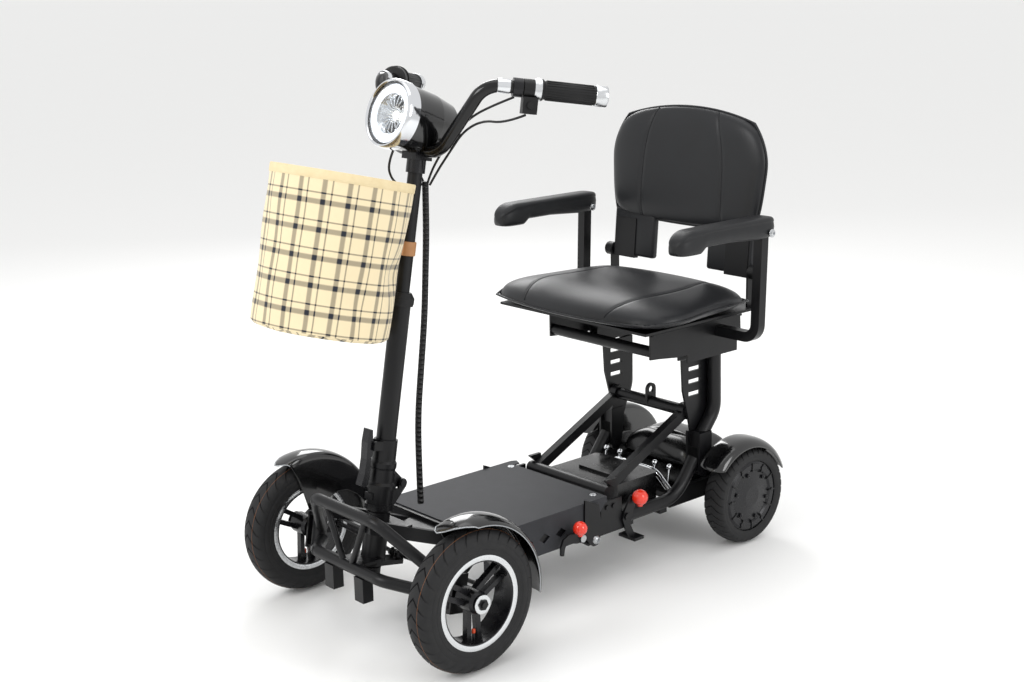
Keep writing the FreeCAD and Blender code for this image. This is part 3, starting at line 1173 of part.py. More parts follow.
def make_armrest(name, side):
    """The padded rest with its ridge; it swings up about the post's pin."""
    x, half = side * float(s.arm_x), float(s.arm_pad_width) / 2
    y, z = float(s.arm_pivot_y), float(s.arm_pivot_z)
    front, top = float(s.arm_pad_front), float(s.arm_pad_top)
    outline = [(front + 6, z - 8), (front, z + 2), (front + 3, z + 14), (front + 24, top), (y - 20, top),
               (y + 18, top - 2), (y + 26, top - 12), (y + 26, z - 10), (y + 20, z - 16), (front + 30, z - 16)]
    shape = flat_prism([(x - half, a, b) for a, b in outline], Vector(2 * half, 0, 0))
    doc_edges = [edge for edge in shape.Edges if abs(edge.tangentAt(edge.FirstParameter).x) < 0.5]
    shape = shape.makeFillet(5, [edge for edge in doc_edges if edge.Length > 60])
    gap = float(s.arm_post) / 2 + 0.5
    shape = shape.cut(rod(Vector(x - gap, y, z), Vector(x + gap, y, z), 15))
    shape = shape.cut(block((x - gap, x + gap), (y - 11.5, y + 40), (z - 30, z + 10.6)))
    pin = float(s.arm_pin_dia) / 2 + 0.05
    shape = shape.cut(rod(Vector(x - 40, y, z), Vector(x + 40, y, z), pin))
    return keep_shape(name, shape)


def make_seat_pan():
    """The pressed pan under the cushion, its sliders and the backrest hinge plates."""
    x = float(s.main_tube_x) + 14.1
    top = float(s.cushion_bottom) - 0.3
    pan = block((-205, 205), (472, 800), (top - 5, top))
    low = block((x - 12, x + 10), (564, 764), (475, top - 4)).cut(block((x - 8.5, x + 6.5), (560, 770), (474, 484.4)))
    hy, hz = float(s.back_hinge_y), float(s.back_hinge_z)
    plate = flat_prism([(187, hy - 11, top - 4), (187, hy - 11, hz), (187, hy, hz + 12), (187, hy + 11, hz),
                        (187, hy + 12, top - 4)], Vector(4, 0, 0))
    side = mirror_pair(low.fuse(plate))
    shape = side.fuse(pan)
    hole = rod(Vector(-230, hy, hz), Vector(230, hy, hz), 5.05)
    return keep_shape("seat_pan", shape.cut(hole))


def make_cushion():
    """The padded seat, a plain block here with its shape drawn simply."""
    body = new_body("seat_cushion")
    half, front, rear = s.cushion_width / 2, s.cushion_front, s.cushion_rear
    low, high = s.cushion_bottom, s.cushion_top
    pad(body, "XY_Plane", [(-half * 0.55, front), (half * 0.55, front), (half * 0.88, front + 40),
                           (half, front + 110), (half, rear - 40), (half - 30, rear), (-half + 30, rear),
                           (-half, rear - 40), (-half, front + 110), (-half * 0.88, front + 40)],
        high - low, offset=low, name="cushion")
    return body


def make_backrest():
    """The padded back and the two uprights with the hinge bolts it folds on."""
    hy, hz = s.back_hinge_y, s.back_hinge_z
    lean = Rotation(PLUS_X, -float(s.back_lean))
    body = new_body("backrest_pad", Placement(Vector(0, float(hy), float(hz)), lean))
    half, low, tall = s.back_width / 2, s.back_bottom - hz, s.back_height
    pad(body, "XZ_Plane", [(-half * 0.8, low), (half * 0.8, low), (half, low + 40), (half, low + tall - 70),
                           (half * 0.72, low + tall), (-half * 0.72, low + tall), (-half, low + tall - 70),
                           (-half, low + 40)], s.back_thickness, middle=True, name="pad")
    low = float(low)
    upright = block((125, 184), (-6, 6), (-12, low - 0.4))
    axle = rod(Vector(183, 0, 0), Vector(192, 0, 0), 5)
    head = rod(Vector(191.3, 0, 0), Vector(195, 0, 0), 10)
    shape = mirror_pair(upright.multiFuse([axle, head]))
    keep_shape("backrest_bracket", shape, Placement(Vector(0, float(hy), float(hz)), lean))


# ---------------------------------------------------------------- build, check and write
def make_all():
    for make in (make_front_frame, make_deck_frame, make_deck_plate, make_chassis_fasteners, make_front_tray,
                 make_frame_latch, make_steering_stem, make_tiller_hinge_base, make_tiller_hinge_casting,
                 make_tiller_tube, make_tiller_collar, make_tiller_latch_lever, make_mast_tube, make_handlebar,
                 make_handlebar_clamp, make_headlamp, make_basket, make_basket_strap, make_grip_left,
                 make_throttle_grip, make_throttle_housing, make_switch_pod, make_horn_button,
                 make_brake_perch, make_brake_lever, make_wiring_loom, make_rear_frame, make_rear_axle,
                 make_battery_case, make_drive_housing, make_drive_cover, make_rear_fenders, make_guard_bar,
                 make_seat_latch, make_seat_support, make_strut_frame, make_seat_base, make_armrest_posts,
                 make_seat_pan, make_cushion, make_backrest):
        make()
    for word, side in SIDES:
        make_knuckle(f"steering_knuckle_{word}", side)
        make_tie_rod(f"tie_rod_{word}", side)
        make_front_tyre(f"front_tyre_{word}", side)
        make_front_rim(f"front_rim_{word}", side)
        make_front_fender(f"front_fender_{word}", side)
        make_rear_tyre(f"rear_tyre_{word}", side)
        make_hub_motor(f"hub_motor_{word}", side)
        make_armrest(f"armrest_{word}", side)


def finish():
    doc.recompute()
    wrong = [obj.Name for obj in doc.Objects if {"Invalid", "Error"} & set(obj.State)]
    if wrong:
        raise RuntimeError(f"these objects did not recompute: {wrong}")
    everything = Part.makeCompound([obj.Shape for obj in NODES.values()])
    box = everything.optimalBoundingBox(False, False)
    shift = Vector(-(box.XMin + box.XMax) / 2, -(box.YMin + box.YMax) / 2, -box.ZMin)
    if abs(shift.x) < 0.5:
        shift.x = 0
    for obj in NODES.values():
        place = obj.Placement
        obj.Placement = Placement(place.Base + shift, place.Rotation)
    doc.recompute()
    print(f"size {box.XLength:.1f} x {box.YLength:.1f} x {box.ZLength:.1f}")
    print(f"shift {shift.x:.4f} {shift.y:.4f} {shift.z:.4f}")
    os.makedirs("parts", exist_ok=True)
    for node, obj in NODES.items():
        shape = obj.Shape
        if shape.isNull() or not shape.isValid() or not shape.Solids:
            raise RuntimeError(f"{node} has no sound solid")
        shape.exportStep(f"parts/{node}.step")
        print(f"{node}: {len(shape.Solids)} solid(s), {shape.Volume / 1000:.1f} cm3")
    print(f"{len(NODES)} sub-parts")


make_all()
finish()
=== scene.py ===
"""The looks of a folding four-wheel mobility scooter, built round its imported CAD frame.

Sizes are in metres in the row's frame: X to the rider's left, Y to the rear, Z up.
"""

import json
import math

import bpy
from mathutils import Matrix, Vector


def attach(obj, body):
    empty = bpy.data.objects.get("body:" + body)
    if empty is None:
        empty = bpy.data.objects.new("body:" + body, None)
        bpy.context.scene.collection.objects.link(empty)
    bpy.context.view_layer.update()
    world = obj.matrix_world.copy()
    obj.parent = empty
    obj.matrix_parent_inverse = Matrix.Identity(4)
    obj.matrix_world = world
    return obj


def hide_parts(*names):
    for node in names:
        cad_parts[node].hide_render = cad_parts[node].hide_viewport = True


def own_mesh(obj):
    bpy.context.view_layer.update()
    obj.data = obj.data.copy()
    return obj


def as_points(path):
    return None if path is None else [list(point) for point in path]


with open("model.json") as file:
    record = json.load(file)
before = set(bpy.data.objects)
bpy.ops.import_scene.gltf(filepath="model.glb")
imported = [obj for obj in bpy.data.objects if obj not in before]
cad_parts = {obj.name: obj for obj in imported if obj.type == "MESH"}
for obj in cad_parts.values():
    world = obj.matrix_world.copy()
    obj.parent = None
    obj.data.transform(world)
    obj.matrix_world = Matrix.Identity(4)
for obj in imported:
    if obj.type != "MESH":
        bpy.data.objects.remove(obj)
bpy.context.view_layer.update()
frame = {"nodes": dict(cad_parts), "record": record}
nodes = frame["nodes"]


# ---------------------------------------------------------------- painted frame
# The tubes, plates and brackets: welded steel, powder coated in satin black.
# The coat is slightly uneven, so its highlights break up a little along each tube.
def linear(text):
    """An sRGB hex colour as a linear colour."""
    parts = [int(text[i:i + 2], 16) / 255 for i in (0, 2, 4)]
    return [p / 12.92 if p <= 0.04045 else ((p + 0.055) / 1.055) ** 2.4 for p in parts] + [1.0]


def add_node(tree, kind, links=(), **settings):
    """A shader node with its settings; links are (own input, other node, other node's output)."""
    node = tree.nodes.new(kind)
    for name, value in settings.items():
        if name.startswith("in_"):
            node.inputs[name[3:].replace("_", " ")].default_value = value
        else:
            setattr(node, name, value)
    for own, other, output in links:
        tree.links.new(other.outputs[output], node.inputs[own])
    return node


def new_material(name, colour, roughness, metallic=0.0, ior=1.5, level=0.5):
    """A new material, its node tree and its main shader; level is the shader's specular level."""
    material = bpy.data.materials.new(name)
    material.use_nodes = True
    tree = material.node_tree
    shader = tree.nodes["Principled BSDF"]
    shader.inputs["Base Color"].default_value = linear(colour)
    shader.inputs["Roughness"].default_value = roughness
    shader.inputs["Metallic"].default_value = metallic
    shader.inputs["IOR"].default_value = ior
    shader.inputs["Specular IOR Level"].default_value = level
    return material, tree, shader


def mottle(tree, shader, low, high, size_mm, detail=3.0):
    """Vary the shader's roughness between two values with a soft pattern of the given size."""
    place = add_node(tree, "ShaderNodeTexCoord")
    noise = add_node(tree, "ShaderNodeTexNoise", [("Vector", place, "Object")],
                     in_Scale=1000 / size_mm, in_Detail=detail)
    spread = add_node(tree, "ShaderNodeMapRange", [("Value", noise, "Fac")],
                      in_From_Min=0.35, in_From_Max=0.65, in_To_Min=low, in_To_Max=high)
    tree.links.new(spread.outputs["Result"], shader.inputs["Roughness"])


def tint(tree, shader, first, second, size_mm):
    """Vary the shader's colour softly between two colours."""
    place = add_node(tree, "ShaderNodeTexCoord")
    noise = add_node(tree, "ShaderNodeTexNoise", [("Vector", place, "Object")],
                     in_Scale=1000 / size_mm, in_Detail=4.0)
    ramp = add_node(tree, "ShaderNodeMix", [("Factor", noise, "Fac")], data_type="RGBA")
    ramp.inputs["A"].default_value = linear(first)
    ramp.inputs["B"].default_value = linear(second)
    tree.links.new(ramp.outputs["Result"], shader.inputs["Base Color"])


def grain(tree, shader, size_mm, depth_mm, detail=2.0, strength=1.0):
    """A fine raised grain of the given size and depth."""
    place = add_node(tree, "ShaderNodeTexCoord")
    noise = add_node(tree, "ShaderNodeTexNoise", [("Vector", place, "Object")],
                     in_Scale=1000 / size_mm, in_Detail=detail)
    bump = add_node(tree, "ShaderNodeBump", [("Height", noise, "Fac")],
                    in_Distance=depth_mm / 1000, in_Strength=strength)
    tree.links.new(bump.outputs["Normal"], shader.inputs["Normal"])


powder_coat, tree, shader = new_material("powder_coat_black", "0e0e10", 0.36, level=0.3)
mottle(tree, shader, 0.30, 0.42, 60)
grain(tree, shader, 1.6, 0.05)

slot_materials = {"frame_black": powder_coat}


# ---------------------------------------------------------------- other hard finishes
# One finish for each of the record's slots: textured deck paint, black plastics and alloy, zinc,
# chrome, rubber and lacquer. Each is named for what it is.
deck_paint, tree, shader = new_material("deck_paint_grained", "2a2b2e", 0.6, level=0.3)
tint(tree, shader, "26272a", "323337", 30)
grain(tree, shader, 1.1, 0.25, 4.0)
slot_materials["deck_black"] = deck_paint

zinc, tree, shader = new_material("zinc_plate", "b4b6b8", 0.3, 1.0, 1.4)
mottle(tree, shader, 0.2, 0.36, 8)
slot_materials["zinc"] = zinc

matt_plastic, tree, shader = new_material("moulded_black_plastic", "121213", 0.42, level=0.3)
mottle(tree, shader, 0.36, 0.5, 25)
grain(tree, shader, 0.7, 0.03)
slot_materials["matt_black"] = matt_plastic

black_alloy, tree, shader = new_material("black_alloy", "17171a", 0.3, 0.35)
mottle(tree, shader, 0.22, 0.34, 15)
slot_materials["alloy_black"] = black_alloy

chrome, tree, shader = new_material("bright_chrome", "dfe1e4", 0.09, 1.0, 1.4)
mottle(tree, shader, 0.06, 0.14, 20)
slot_materials["bright_steel"] = chrome

lens_plastic, tree, shader = new_material("clear_lens", "f6f8fa", 0.03, 0.0, 1.49)
shader.inputs["Transmission Weight"].default_value = 1.0
mottle(tree, shader, 0.02, 0.05, 12)
slot_materials["clear_lens"] = lens_plastic

grip_rubber, tree, shader = new_material("grip_rubber", "141415", 0.5, level=0.3)
tint(tree, shader, "111112", "1a1a1b", 10)
grain(tree, shader, 0.8, 0.06)
slot_materials["rubber_black"] = grip_rubber

tyre_rubber, tree, shader = new_material("tyre_rubber", "1b1b1c", 0.62, level=0.28)
tint(tree, shader, "171718", "242425", 14)
grain(tree, shader, 1.0, 0.08)
slot_materials["tyre_black"] = tyre_rubber

lacquer, tree, shader = new_material("gloss_black_lacquer", "0a0a0b", 0.16)
shader.inputs["Coat Weight"].default_value = 0.6
shader.inputs["Coat Roughness"].default_value = 0.05
mottle(tree, shader, 0.10, 0.2, 40)
slot_materials["gloss_black"] = lacquer

vinyl, tree, shader = new_material("seat_vinyl", "17181a", 0.4, level=0.36)
tint(tree, shader, "151618", "1c1d20", 60)
place = add_node(tree, "ShaderNodeTexCoord")
pebble = add_node(tree, "ShaderNodeTexVoronoi", [("Vector", place, "Object")],
                  feature="DISTANCE_TO_EDGE", in_Scale=1000 / 1.8)
bump = add_node(tree, "ShaderNodeBump", [("Height", pebble, "Distance")],
                in_Distance=0.00008, in_Strength=0.5)
tree.links.new(bump.outputs["Normal"], shader.inputs["Normal"])
slot_materials["vinyl_black"] = vinyl

strap_leather, tree, shader = new_material("tan_leather", "a9794c", 0.55)
tint(tree, shader, "9c6c40", "b58458", 18)
grain(tree, shader, 1.2, 0.06)
slot_materials["strap_tan"] = strap_leather

plain_cloth, tree, shader = new_material("cream_cloth_inside", "d9c9a4", 0.85)
grain(tree, shader, 0.8, 0.1)
slot_materials["basket_cloth"] = plain_cloth


def coat(material, *names):
    """Give the named CAD nodes one material."""
    for name in names:
        nodes[name].data.materials.clear()
        nodes[name].data.materials.append(material)


for entry in frame["record"]["subparts"]:
    coat(slot_materials[entry["material_slot"]], entry["node"])


# ---------------------------------------------------------------- basket
# A round bucket of checked cloth with a cream band sewn round the rim, open at the top.
# The wall is a grid wrapped into a tapering shell; it sags a little and is pulled in at the strap.
def only(thing=None):
    """Select one object, or nothing."""
    if bpy.context.object and bpy.context.object.mode != "OBJECT":
        bpy.ops.object.mode_set(mode="OBJECT")
    bpy.ops.object.select_all(action="DESELECT")
    if thing:
        thing.select_set(True)
        bpy.context.view_layer.objects.active = thing


def wrapped_grid(name, columns, rows, rule, material, smooth=40):
    """A grid whose points are put where rule(column, row) says; doubles merge and faces point outward."""
    only()
    bpy.ops.mesh.primitive_grid_add(x_subdivisions=columns, y_subdivisions=rows, size=2)
    thing = bpy.context.object
    thing.name = thing.data.name = name
    for point in thing.data.vertices:
        i = round((point.co.x + 1) / 2 * columns)
        j = round((point.co.y + 1) / 2 * rows)
        point.co = rule(i, j)
    close_up(thing, smooth)
    thing.data.materials.append(material)
    return thing


def close_up(thing, smooth=40):
    """Merge doubled points, turn the faces outward and shade the piece smooth up to an angle."""
    only(thing)
    bpy.ops.object.mode_set(mode="EDIT")
    bpy.ops.mesh.select_all(action="SELECT")
    bpy.ops.mesh.remove_doubles(threshold=0.00002)
    bpy.ops.mesh.normals_make_consistent(inside=False)
    bpy.ops.object.mode_set(mode="OBJECT")
    bpy.ops.object.shade_smooth_by_angle(angle=math.radians(smooth))


def lathe(name, profile, steps, turn, material, smooth=40):
    """A shape of revolution about the turn's Z axis, from (radius, height) points."""
    def rule(i, j):
        radius, height = profile[j]
        angle = 2 * math.pi * i / steps
        return turn @ Vector((radius * math.cos(angle), radius * math.sin(angle), height))
    return wrapped_grid(name, steps, len(profile) - 1, rule, material, smooth)


basket_height, basket_columns = 0.27, 120
basket_axis = Matrix.Translation((0, -0.44293, 0.568)) @ Matrix.Rotation(math.radians(-13.94), 4, "X")

checked_cloth, tree, shader = new_material("checked_cloth", "e6cf9f", 0.82)
shader.inputs["Sheen Weight"].default_value = 0.2
place = add_node(tree, "ShaderNodeUVMap", uv_map="cloth")
parts = add_node(tree, "ShaderNodeSeparateXYZ", [("Vector", place, "UV")])


def stripe(axis, period, middle, width):
    """1 on a soft-edged stripe that repeats every period along one axis of the cloth, in millimetres."""
    count = add_node(tree, "ShaderNodeMath", [(0, parts, axis)], operation="MULTIPLY")
    count.inputs[1].default_value = 1000 / period
    turn = add_node(tree, "ShaderNodeMath", [(0, count, "Value")], operation="FRACT")
    off = add_node(tree, "ShaderNodeMath", [(0, turn, "Value")], operation="SUBTRACT")
    off.inputs[1].default_value = middle
    far = add_node(tree, "ShaderNodeMath", [(0, off, "Value")], operation="ABSOLUTE")
    half = width / 2 / period
    edge = add_node(tree, "ShaderNodeMapRange", [("Value", far, "Value")], in_From_Min=half * 0.75,
                    in_From_Max=half * 1.25, in_To_Min=1.0, in_To_Max=0.0)
    return edge


def either(first, second, share=1.0):
    """The two stripes added up, times a share."""
    total = add_node(tree, "ShaderNodeMath", [(0, first, 0), (1, second, 0)], operation="ADD")
    scaled = add_node(tree, "ShaderNodeMath", [(0, total, "Value")], operation="MULTIPLY")
    scaled.inputs[1].default_value = share
    return scaled


slate_across = either(stripe("X", 41, 0.34, 8.0), stripe("X", 41, 0.66, 2.6))
slate_along = either(stripe("Y", 45, 0.34, 8.5), stripe("Y", 45, 0.66, 2.6))
check = add_node(tree, "ShaderNodeMix", [("Factor", either(slate_across, slate_along, 0.56), 0)],
                 data_type="RGBA")
check.inputs["A"].default_value = linear("e9d8b2")
check.inputs["B"].default_value = linear("141a26")
tree.links.new(check.outputs["Result"], shader.inputs["Base Color"])
mesh_place = add_node(tree, "ShaderNodeVectorMath", [("Vector", place, "UV")],
                      operation="SCALE", in_Scale=1000 / 1.4)
weave = add_node(tree, "ShaderNodeTexChecker", [("Vector", mesh_place, "Vector")], in_Scale=1.0)
bump = add_node(tree, "ShaderNodeBump", [("Height", weave, "Fac")], in_Distance=0.00012, in_Strength=0.5)
tree.links.new(bump.outputs["Normal"], shader.inputs["Normal"])

wall_profile = [(0.0, 0.0015), (0.06, 0.0), (0.098, 0.0), (0.1125, 0.0012), (0.1168, 0.006)]
wall_profile += [(0.1172 + 0.0046 * k / 30, 0.010 + 0.252 * k / 30) for k in range(31)]
wall_profile += [(0.1196 - 0.0044 * k / 20, 0.262 - 0.252 * k / 20) for k in range(21)]
wall_profile += [(0.1135, 0.006), (0.09, 0.0045), (0.0, 0.0045)]


def sag(point):
    """How far the cloth moves from a true cone: broad folds, creases at the strap and near the base."""
    angle = math.atan2(point.x, point.y)
    height = point.z
    inward = 0.0008 * math.sin(3 * angle + 9 * height / basket_height)
    inward += 0.0006 * math.sin(7 * angle - 14 * height / basket_height)
    inward += 0.0140 * math.exp(-((angle - 0.85) / 0.30) ** 2) * math.exp(-((height - 0.118) / 0.035) ** 2)
    inward += 0.0065 * math.exp(-((angle + 0.8) / 0.3) ** 2) * math.exp(-((height - 0.125) / 0.04) ** 2)
    slanting = (angle - 1.5 - height * 3) / 0.12
    inward += 0.004 * math.exp(-slanting ** 2) * math.exp(-((height - 0.06) / 0.05) ** 2)
    inward += 0.0035 * math.exp(-((angle - 2.4) / 0.25) ** 2) * math.exp(-((height - 0.02) / 0.018) ** 2)
    fade = min(1.0, max(0.0, (0.262 - height) / 0.04))
    radius = math.hypot(point.x, point.y)
    if radius < 0.05:
        return Vector()
    lift = 0.003 * math.sin(2 * angle + 0.6) * max(0.0, 1 - height / 0.03)
    return Vector((-point.x / radius * inward * fade, -point.y / radius * inward * fade, max(0.0, lift)))


def basket_rule(i, j):
    """A point of the bucket: i goes round it, j along its profile."""
    radius, height = wall_profile[j]
    angle = 2 * math.pi * i / basket_columns
    point = Vector((radius * math.sin(angle), radius * math.cos(angle), height))
    return point + sag(point)


basket = wrapped_grid("basket_bucket", basket_columns, len(wall_profile) - 1, basket_rule, checked_cloth, 60)
cloth_map = basket.data.uv_layers.new(name="cloth")
for face in basket.data.polygons:
    middle = face.center
    face_angle = math.atan2(middle.x, -middle.y)
    for corner in face.loop_indices:
        point = basket.data.vertices[basket.data.loops[corner].vertex_index].co
        angle = math.atan2(point.x, -point.y)
        angle += 2 * math.pi * round((face_angle - angle) / (2 * math.pi))
        flat = middle.z < 0.005
        cloth_map.data[corner].uv = (point.x, point.y) if flat else (angle * 0.12 + 0.008, point.z + 0.02)
basket.data.transform(basket_axis)
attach(basket, "mast")
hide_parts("basket")

band_cloth, tree, shader = new_material("cream_band", "e0cda2", 0.75)
tint(tree, shader, "d8c497", "e8d7b0", 12)
grain(tree, shader, 0.9, 0.1)
band = lathe("basket_rim_band", [(0.1222, 0.2565), (0.1230, 0.2575), (0.1232, 0.270), (0.1222, 0.2722),
                                 (0.1192, 0.2722), (0.1182, 0.2705), (0.1184, 0.2575), (0.1194, 0.2565),
                                 (0.1222, 0.2565)], basket_columns, basket_axis, band_cloth, 50)
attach(band, "mast")


# ---------------------------------------------------------------- basket strap
# A tan leather strap round the mast, sewn to the basket's back.
# A turned band with soft edges and a short bridge.
steer = Matrix.Translation((0, -0.34713, 0.170)) @ Matrix.Rotation(math.radians(-10.63), 4, "X")


def slab(name, low, high, bevel, turn, material, segments=3):
    """A block between two corners with rounded edges."""
    only()
    bpy.ops.mesh.primitive_cube_add(size=1)
    thing = bpy.context.object
    thing.name = thing.data.name = name
    for point in thing.data.vertices:
        point.co = Vector([low[a] if point.co[a] < 0 else high[a] for a in range(3)])
    rounding = thing.modifiers.new("rounding", "BEVEL")
    rounding.width, rounding.segments = bevel, segments
    bpy.ops.object.modifier_apply(modifier="rounding")
    thing.data.transform(turn)
    bpy.ops.object.shade_smooth_by_angle(angle=math.radians(40))
    thing.data.materials.append(material)
    return thing


loop_band = lathe("strap_loop", [(0.0131, 0.514), (0.0131, 0.537), (0.0150, 0.538), (0.0158, 0.5365),
                                 (0.0158, 0.5145), (0.0150, 0.513), (0.0131, 0.514)],
                  40, steer, strap_leather)
bridge = slab("strap_bridge", (-0.0088, -0.0590, 0.5135), (0.0088, -0.0130, 0.5375), 0.0012,
              steer, strap_leather)
for piece in (loop_band, bridge):
    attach(piece, "mast")
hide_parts("basket_strap")


# ---------------------------------------------------------------- seat cushion
# A wide foam cushion in black vinyl: a crowned top, a piped edge and two seams.
# Two mapped grids, top and bottom, meet at the piping; each seam is pressed in and holds a thin cord.
def soft_square(u, v, corner):
    """A point of a square pulled in at its corners."""
    return u * math.sqrt(1 - 0.5 * corner * v * v), v * math.sqrt(1 - 0.5 * corner * u * u)


def dome(u, v, power):
    """1 in the middle of a cushion, 0 at its edge."""
    edge = (abs(u) ** 10 + abs(v) ** 10) ** 0.1
    return max(0.0, 1 - min(1.0, edge) ** power) ** 0.5


def seat_plan(u, v):
    """The cushion's outline; v is -1 at the front. The front is wide and bowed, the back narrower."""
    x, y = soft_square(u, v, 0.44)
    wide = 0.203 + 0.019 * math.exp(-((v + 0.6) / 0.45) ** 2)
    return x * wide * 1.12, 0.283 + y * 0.170


def seat_edge(u, v):
    """The height of the piped edge: it dips at the front and arches over the side plates."""
    return 0.5110 - 0.004 * max(0.0, -v) ** 3 * (1 - u * u) + 0.007 * abs(u) ** 4 * math.cos(v * 1.5)


def seat_top(u, v):
    """A point of the crowned top, with its two seams pressed in."""
    x, y = seat_plan(u, v)
    crown = 0.034 + 0.010 * (1 - u * u) * (1 - 0.4 * v * v)
    crown -= 0.006 * math.exp(-((v - 0.1) / 0.45) ** 2) * (1 - u * u)
    seam = 0.0022 * math.exp(-((abs(u) - 0.6 + 0.07 * v * v) / 0.018) ** 2)
    return Vector((x, y, seat_edge(u, v) + crown * dome(u, v, 3.2) - seam * dome(u, v, 6)))


def seat_under(u, v):
    """A point of the nearly flat underside."""
    x, y = seat_plan(u, v)
    edge = seat_edge(u, v)
    return Vector((x * (1 - 0.03 * dome(u, v, 5)), y, edge - (edge - 0.4975) * dome(u, v, 9)))


def pillow(name, top, under, columns, rows, material):
    """A closed cushion from a top and an underside that share their edge."""
    halves = []
    for tag, rule in (("top", top), ("under", under)):
        halves.append(wrapped_grid(f"{name}_{tag}", columns, rows,
                                   lambda i, j: rule(2 * i / columns - 1, 2 * j / rows - 1), material))
    only(halves[0])
    halves[1].select_set(True)
    bpy.ops.object.join()
    body = bpy.context.object
    body.name = body.data.name = name
    close_up(body, 55)
    finer = body.modifiers.new("finer", "SUBSURF")
    finer.levels = finer.render_levels = 1
    only(body)
    bpy.ops.object.modifier_apply(modifier="finer")
    return body


def bead(name, points, radius, material, closed=False, sides=3):
    """A round cord along points, made from a bevelled curve and converted to a mesh."""
    curve = bpy.data.curves.new(name, "CURVE")
    curve.dimensions, curve.use_fill_caps = "3D", True
    curve.bevel_depth, curve.bevel_resolution = radius, sides
    line = curve.splines.new("POLY")
    line.points.add(len(points) - 1)
    for target, point in zip(line.points, points):
        target.co = (*point, 1)
    line.use_cyclic_u = closed
    thing = bpy.data.objects.new(name, curve)
    bpy.context.scene.collection.objects.link(thing)
    only(thing)
    bpy.ops.object.convert(target="MESH")
    thing = bpy.context.object
    thing.data.name = name
    thing.data.materials.clear()
    thing.data.materials.append(material)
    bpy.ops.object.shade_smooth_by_angle(angle=math.radians(60))
    return thing


def round_edge(steps):
    """The edge of the square in order, as (u, v)."""
    onward = [-1 + 2 * k / steps for k in range(steps)]
    homeward = [1 - 2 * k / steps for k in range(steps)]
    return ([(s, -1) for s in onward] + [(1, s) for s in onward]
            + [(s, 1) for s in homeward] + [(-1, s) for s in homeward])


def trim(name, cushion, face, seam, lift, body):
    """Pipe a cushion's edge, lay a thin cord in each of its two seams and put all of it on one body."""
    edge = [face(u, v) for u, v in round_edge(40)]
    pieces = [cushion, bead(f"{name}_piping", edge, 0.0022, vinyl, closed=True)]
    for side, word in ((-1, "right"), (1, "left")):
        line = [face(side * seam(v), v) + Vector(lift) for v in [-0.985 + 1.97 * k / 70 for k in range(71)]]
        pieces.append(bead(f"{name}_seam_{word}", line, 0.0009, vinyl, sides=2))
    for piece in pieces:
        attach(piece, body)


cushion = pillow("seat_cushion_padded", seat_top, seat_under, 100, 72, vinyl)
trim("seat", cushion, seat_top, lambda v: 0.6 - 0.07 * v * v, (0, 0, 0.0006), "seat")
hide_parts("seat_cushion")


# ---------------------------------------------------------------- backrest
# A padded back in the same vinyl: round shoulders, a hollow front, a piped edge and two upright seams.
# It is a mapped pillow leaning five degrees back over its hinge plate.
lean = Matrix.Translation((0, 0.45357, 0.564)) @ Matrix.Rotation(math.radians(-5), 4, "X")


def back_plan(u, v):
    """The back's outline; v is 1 at the top."""
    low, half_width, half_height = 0.0745, 0.2095, 0.1200
    blend = 0.5 + 0.5 * math.tanh(3.5 * v)
    x, y = soft_square(u, v, 0.22 + 0.46 * blend)
    spread = 1.0 - 0.02 * (1 - blend)
    return (x * half_width * spread * (1 - 0.03 * max(0.0, -v) ** 3),
            low + half_height + y * half_height * (1 - 0.02 * blend * u * u))


def back_front(u, v):
    """A point of the face that the rider leans on."""
    x, z = back_plan(u, v)
    hollow = 0.006 * math.exp(-(u / 0.55) ** 2) - 0.012 * max(0.0, abs(u) - 0.55) ** 2
    seam = 0.0022 * math.exp(-((abs(u) - 0.52 + 0.05 * v) / 0.018) ** 2)
    puff = 0.021 * dome(u, v, 4.5)
    return lean @ Vector((x, 0.0030 + hollow * dome(u, v, 4) + seam * dome(u, v, 6) - puff, z))


def back_rear(u, v):
    """A point of the plain rear face."""
    x, z = back_plan(u, v)
    return lean @ Vector((x, 0.0030 + 0.017 * dome(u, v, 7), z))


back = pillow("backrest_padded", back_front, back_rear, 88, 76, vinyl)
trim("backrest", back, back_front, lambda v: 0.52 - 0.05 * v, (0, -0.0006, 0), "backrest")
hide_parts("backrest_pad")


# ---------------------------------------------------------------- armrests
# Moulded foam pads with a ridge along the upper edge, a nose that curves down and a slimmer underside.
# One boxy grid is mapped round its length; each side has its own copy.
armrest_foam, tree, shader = new_material("armrest_foam", "141517", 0.46, level=0.32)
tint(tree, shader, "141517", "1e1f21", 30)
grain(tree, shader, 1.2, 0.12)
arm_columns, arm_rows = 60, 48


def arm_rule(i, j):
    """A point of the pad: i goes from the nose to the rear, j round the section."""
    along = i / arm_columns
    turn = 2 * math.pi * j / arm_rows
    close = min(1.0, (1 - abs(2 * along - 1) ** 12)) ** 0.5 if 0 < along < 1 else 0.0
    cos, sin = math.cos(turn), math.sin(turn)
    x = 0.0236 * math.copysign(abs(cos) ** 0.45, cos)
    y = 0.1675 + 0.276 * along
    drop = max(0.0, 1 - along / 0.16)
    roof = 0.6875 - 0.020 * drop ** 2.2
    base = 0.6405 + 0.010 * min(1.0, max(0.0, (along - 0.22) / 0.05))
    base -= 0.006 * min(1.0, max(0.0, (along - 0.5) / 0.3))
    middle, tall = (roof + base) / 2, (roof - base) / 2
    z = math.copysign(abs(sin) ** 0.5, sin)
    ridge = 0.0030 * math.exp(-((z - 0.45) / 0.10) ** 2) * (abs(cos) > 0.3)
    under = 1 - 0.16 * max(0.0, -z) * min(1.0, max(0.0, (along - 0.18) / 0.08))
    x = (x - math.copysign(ridge, x)) * under * close
    return Vector((x, y, middle + z * tall * (0.55 + 0.45 * close) * (1 if 0 < along < 1 else 0.0)))


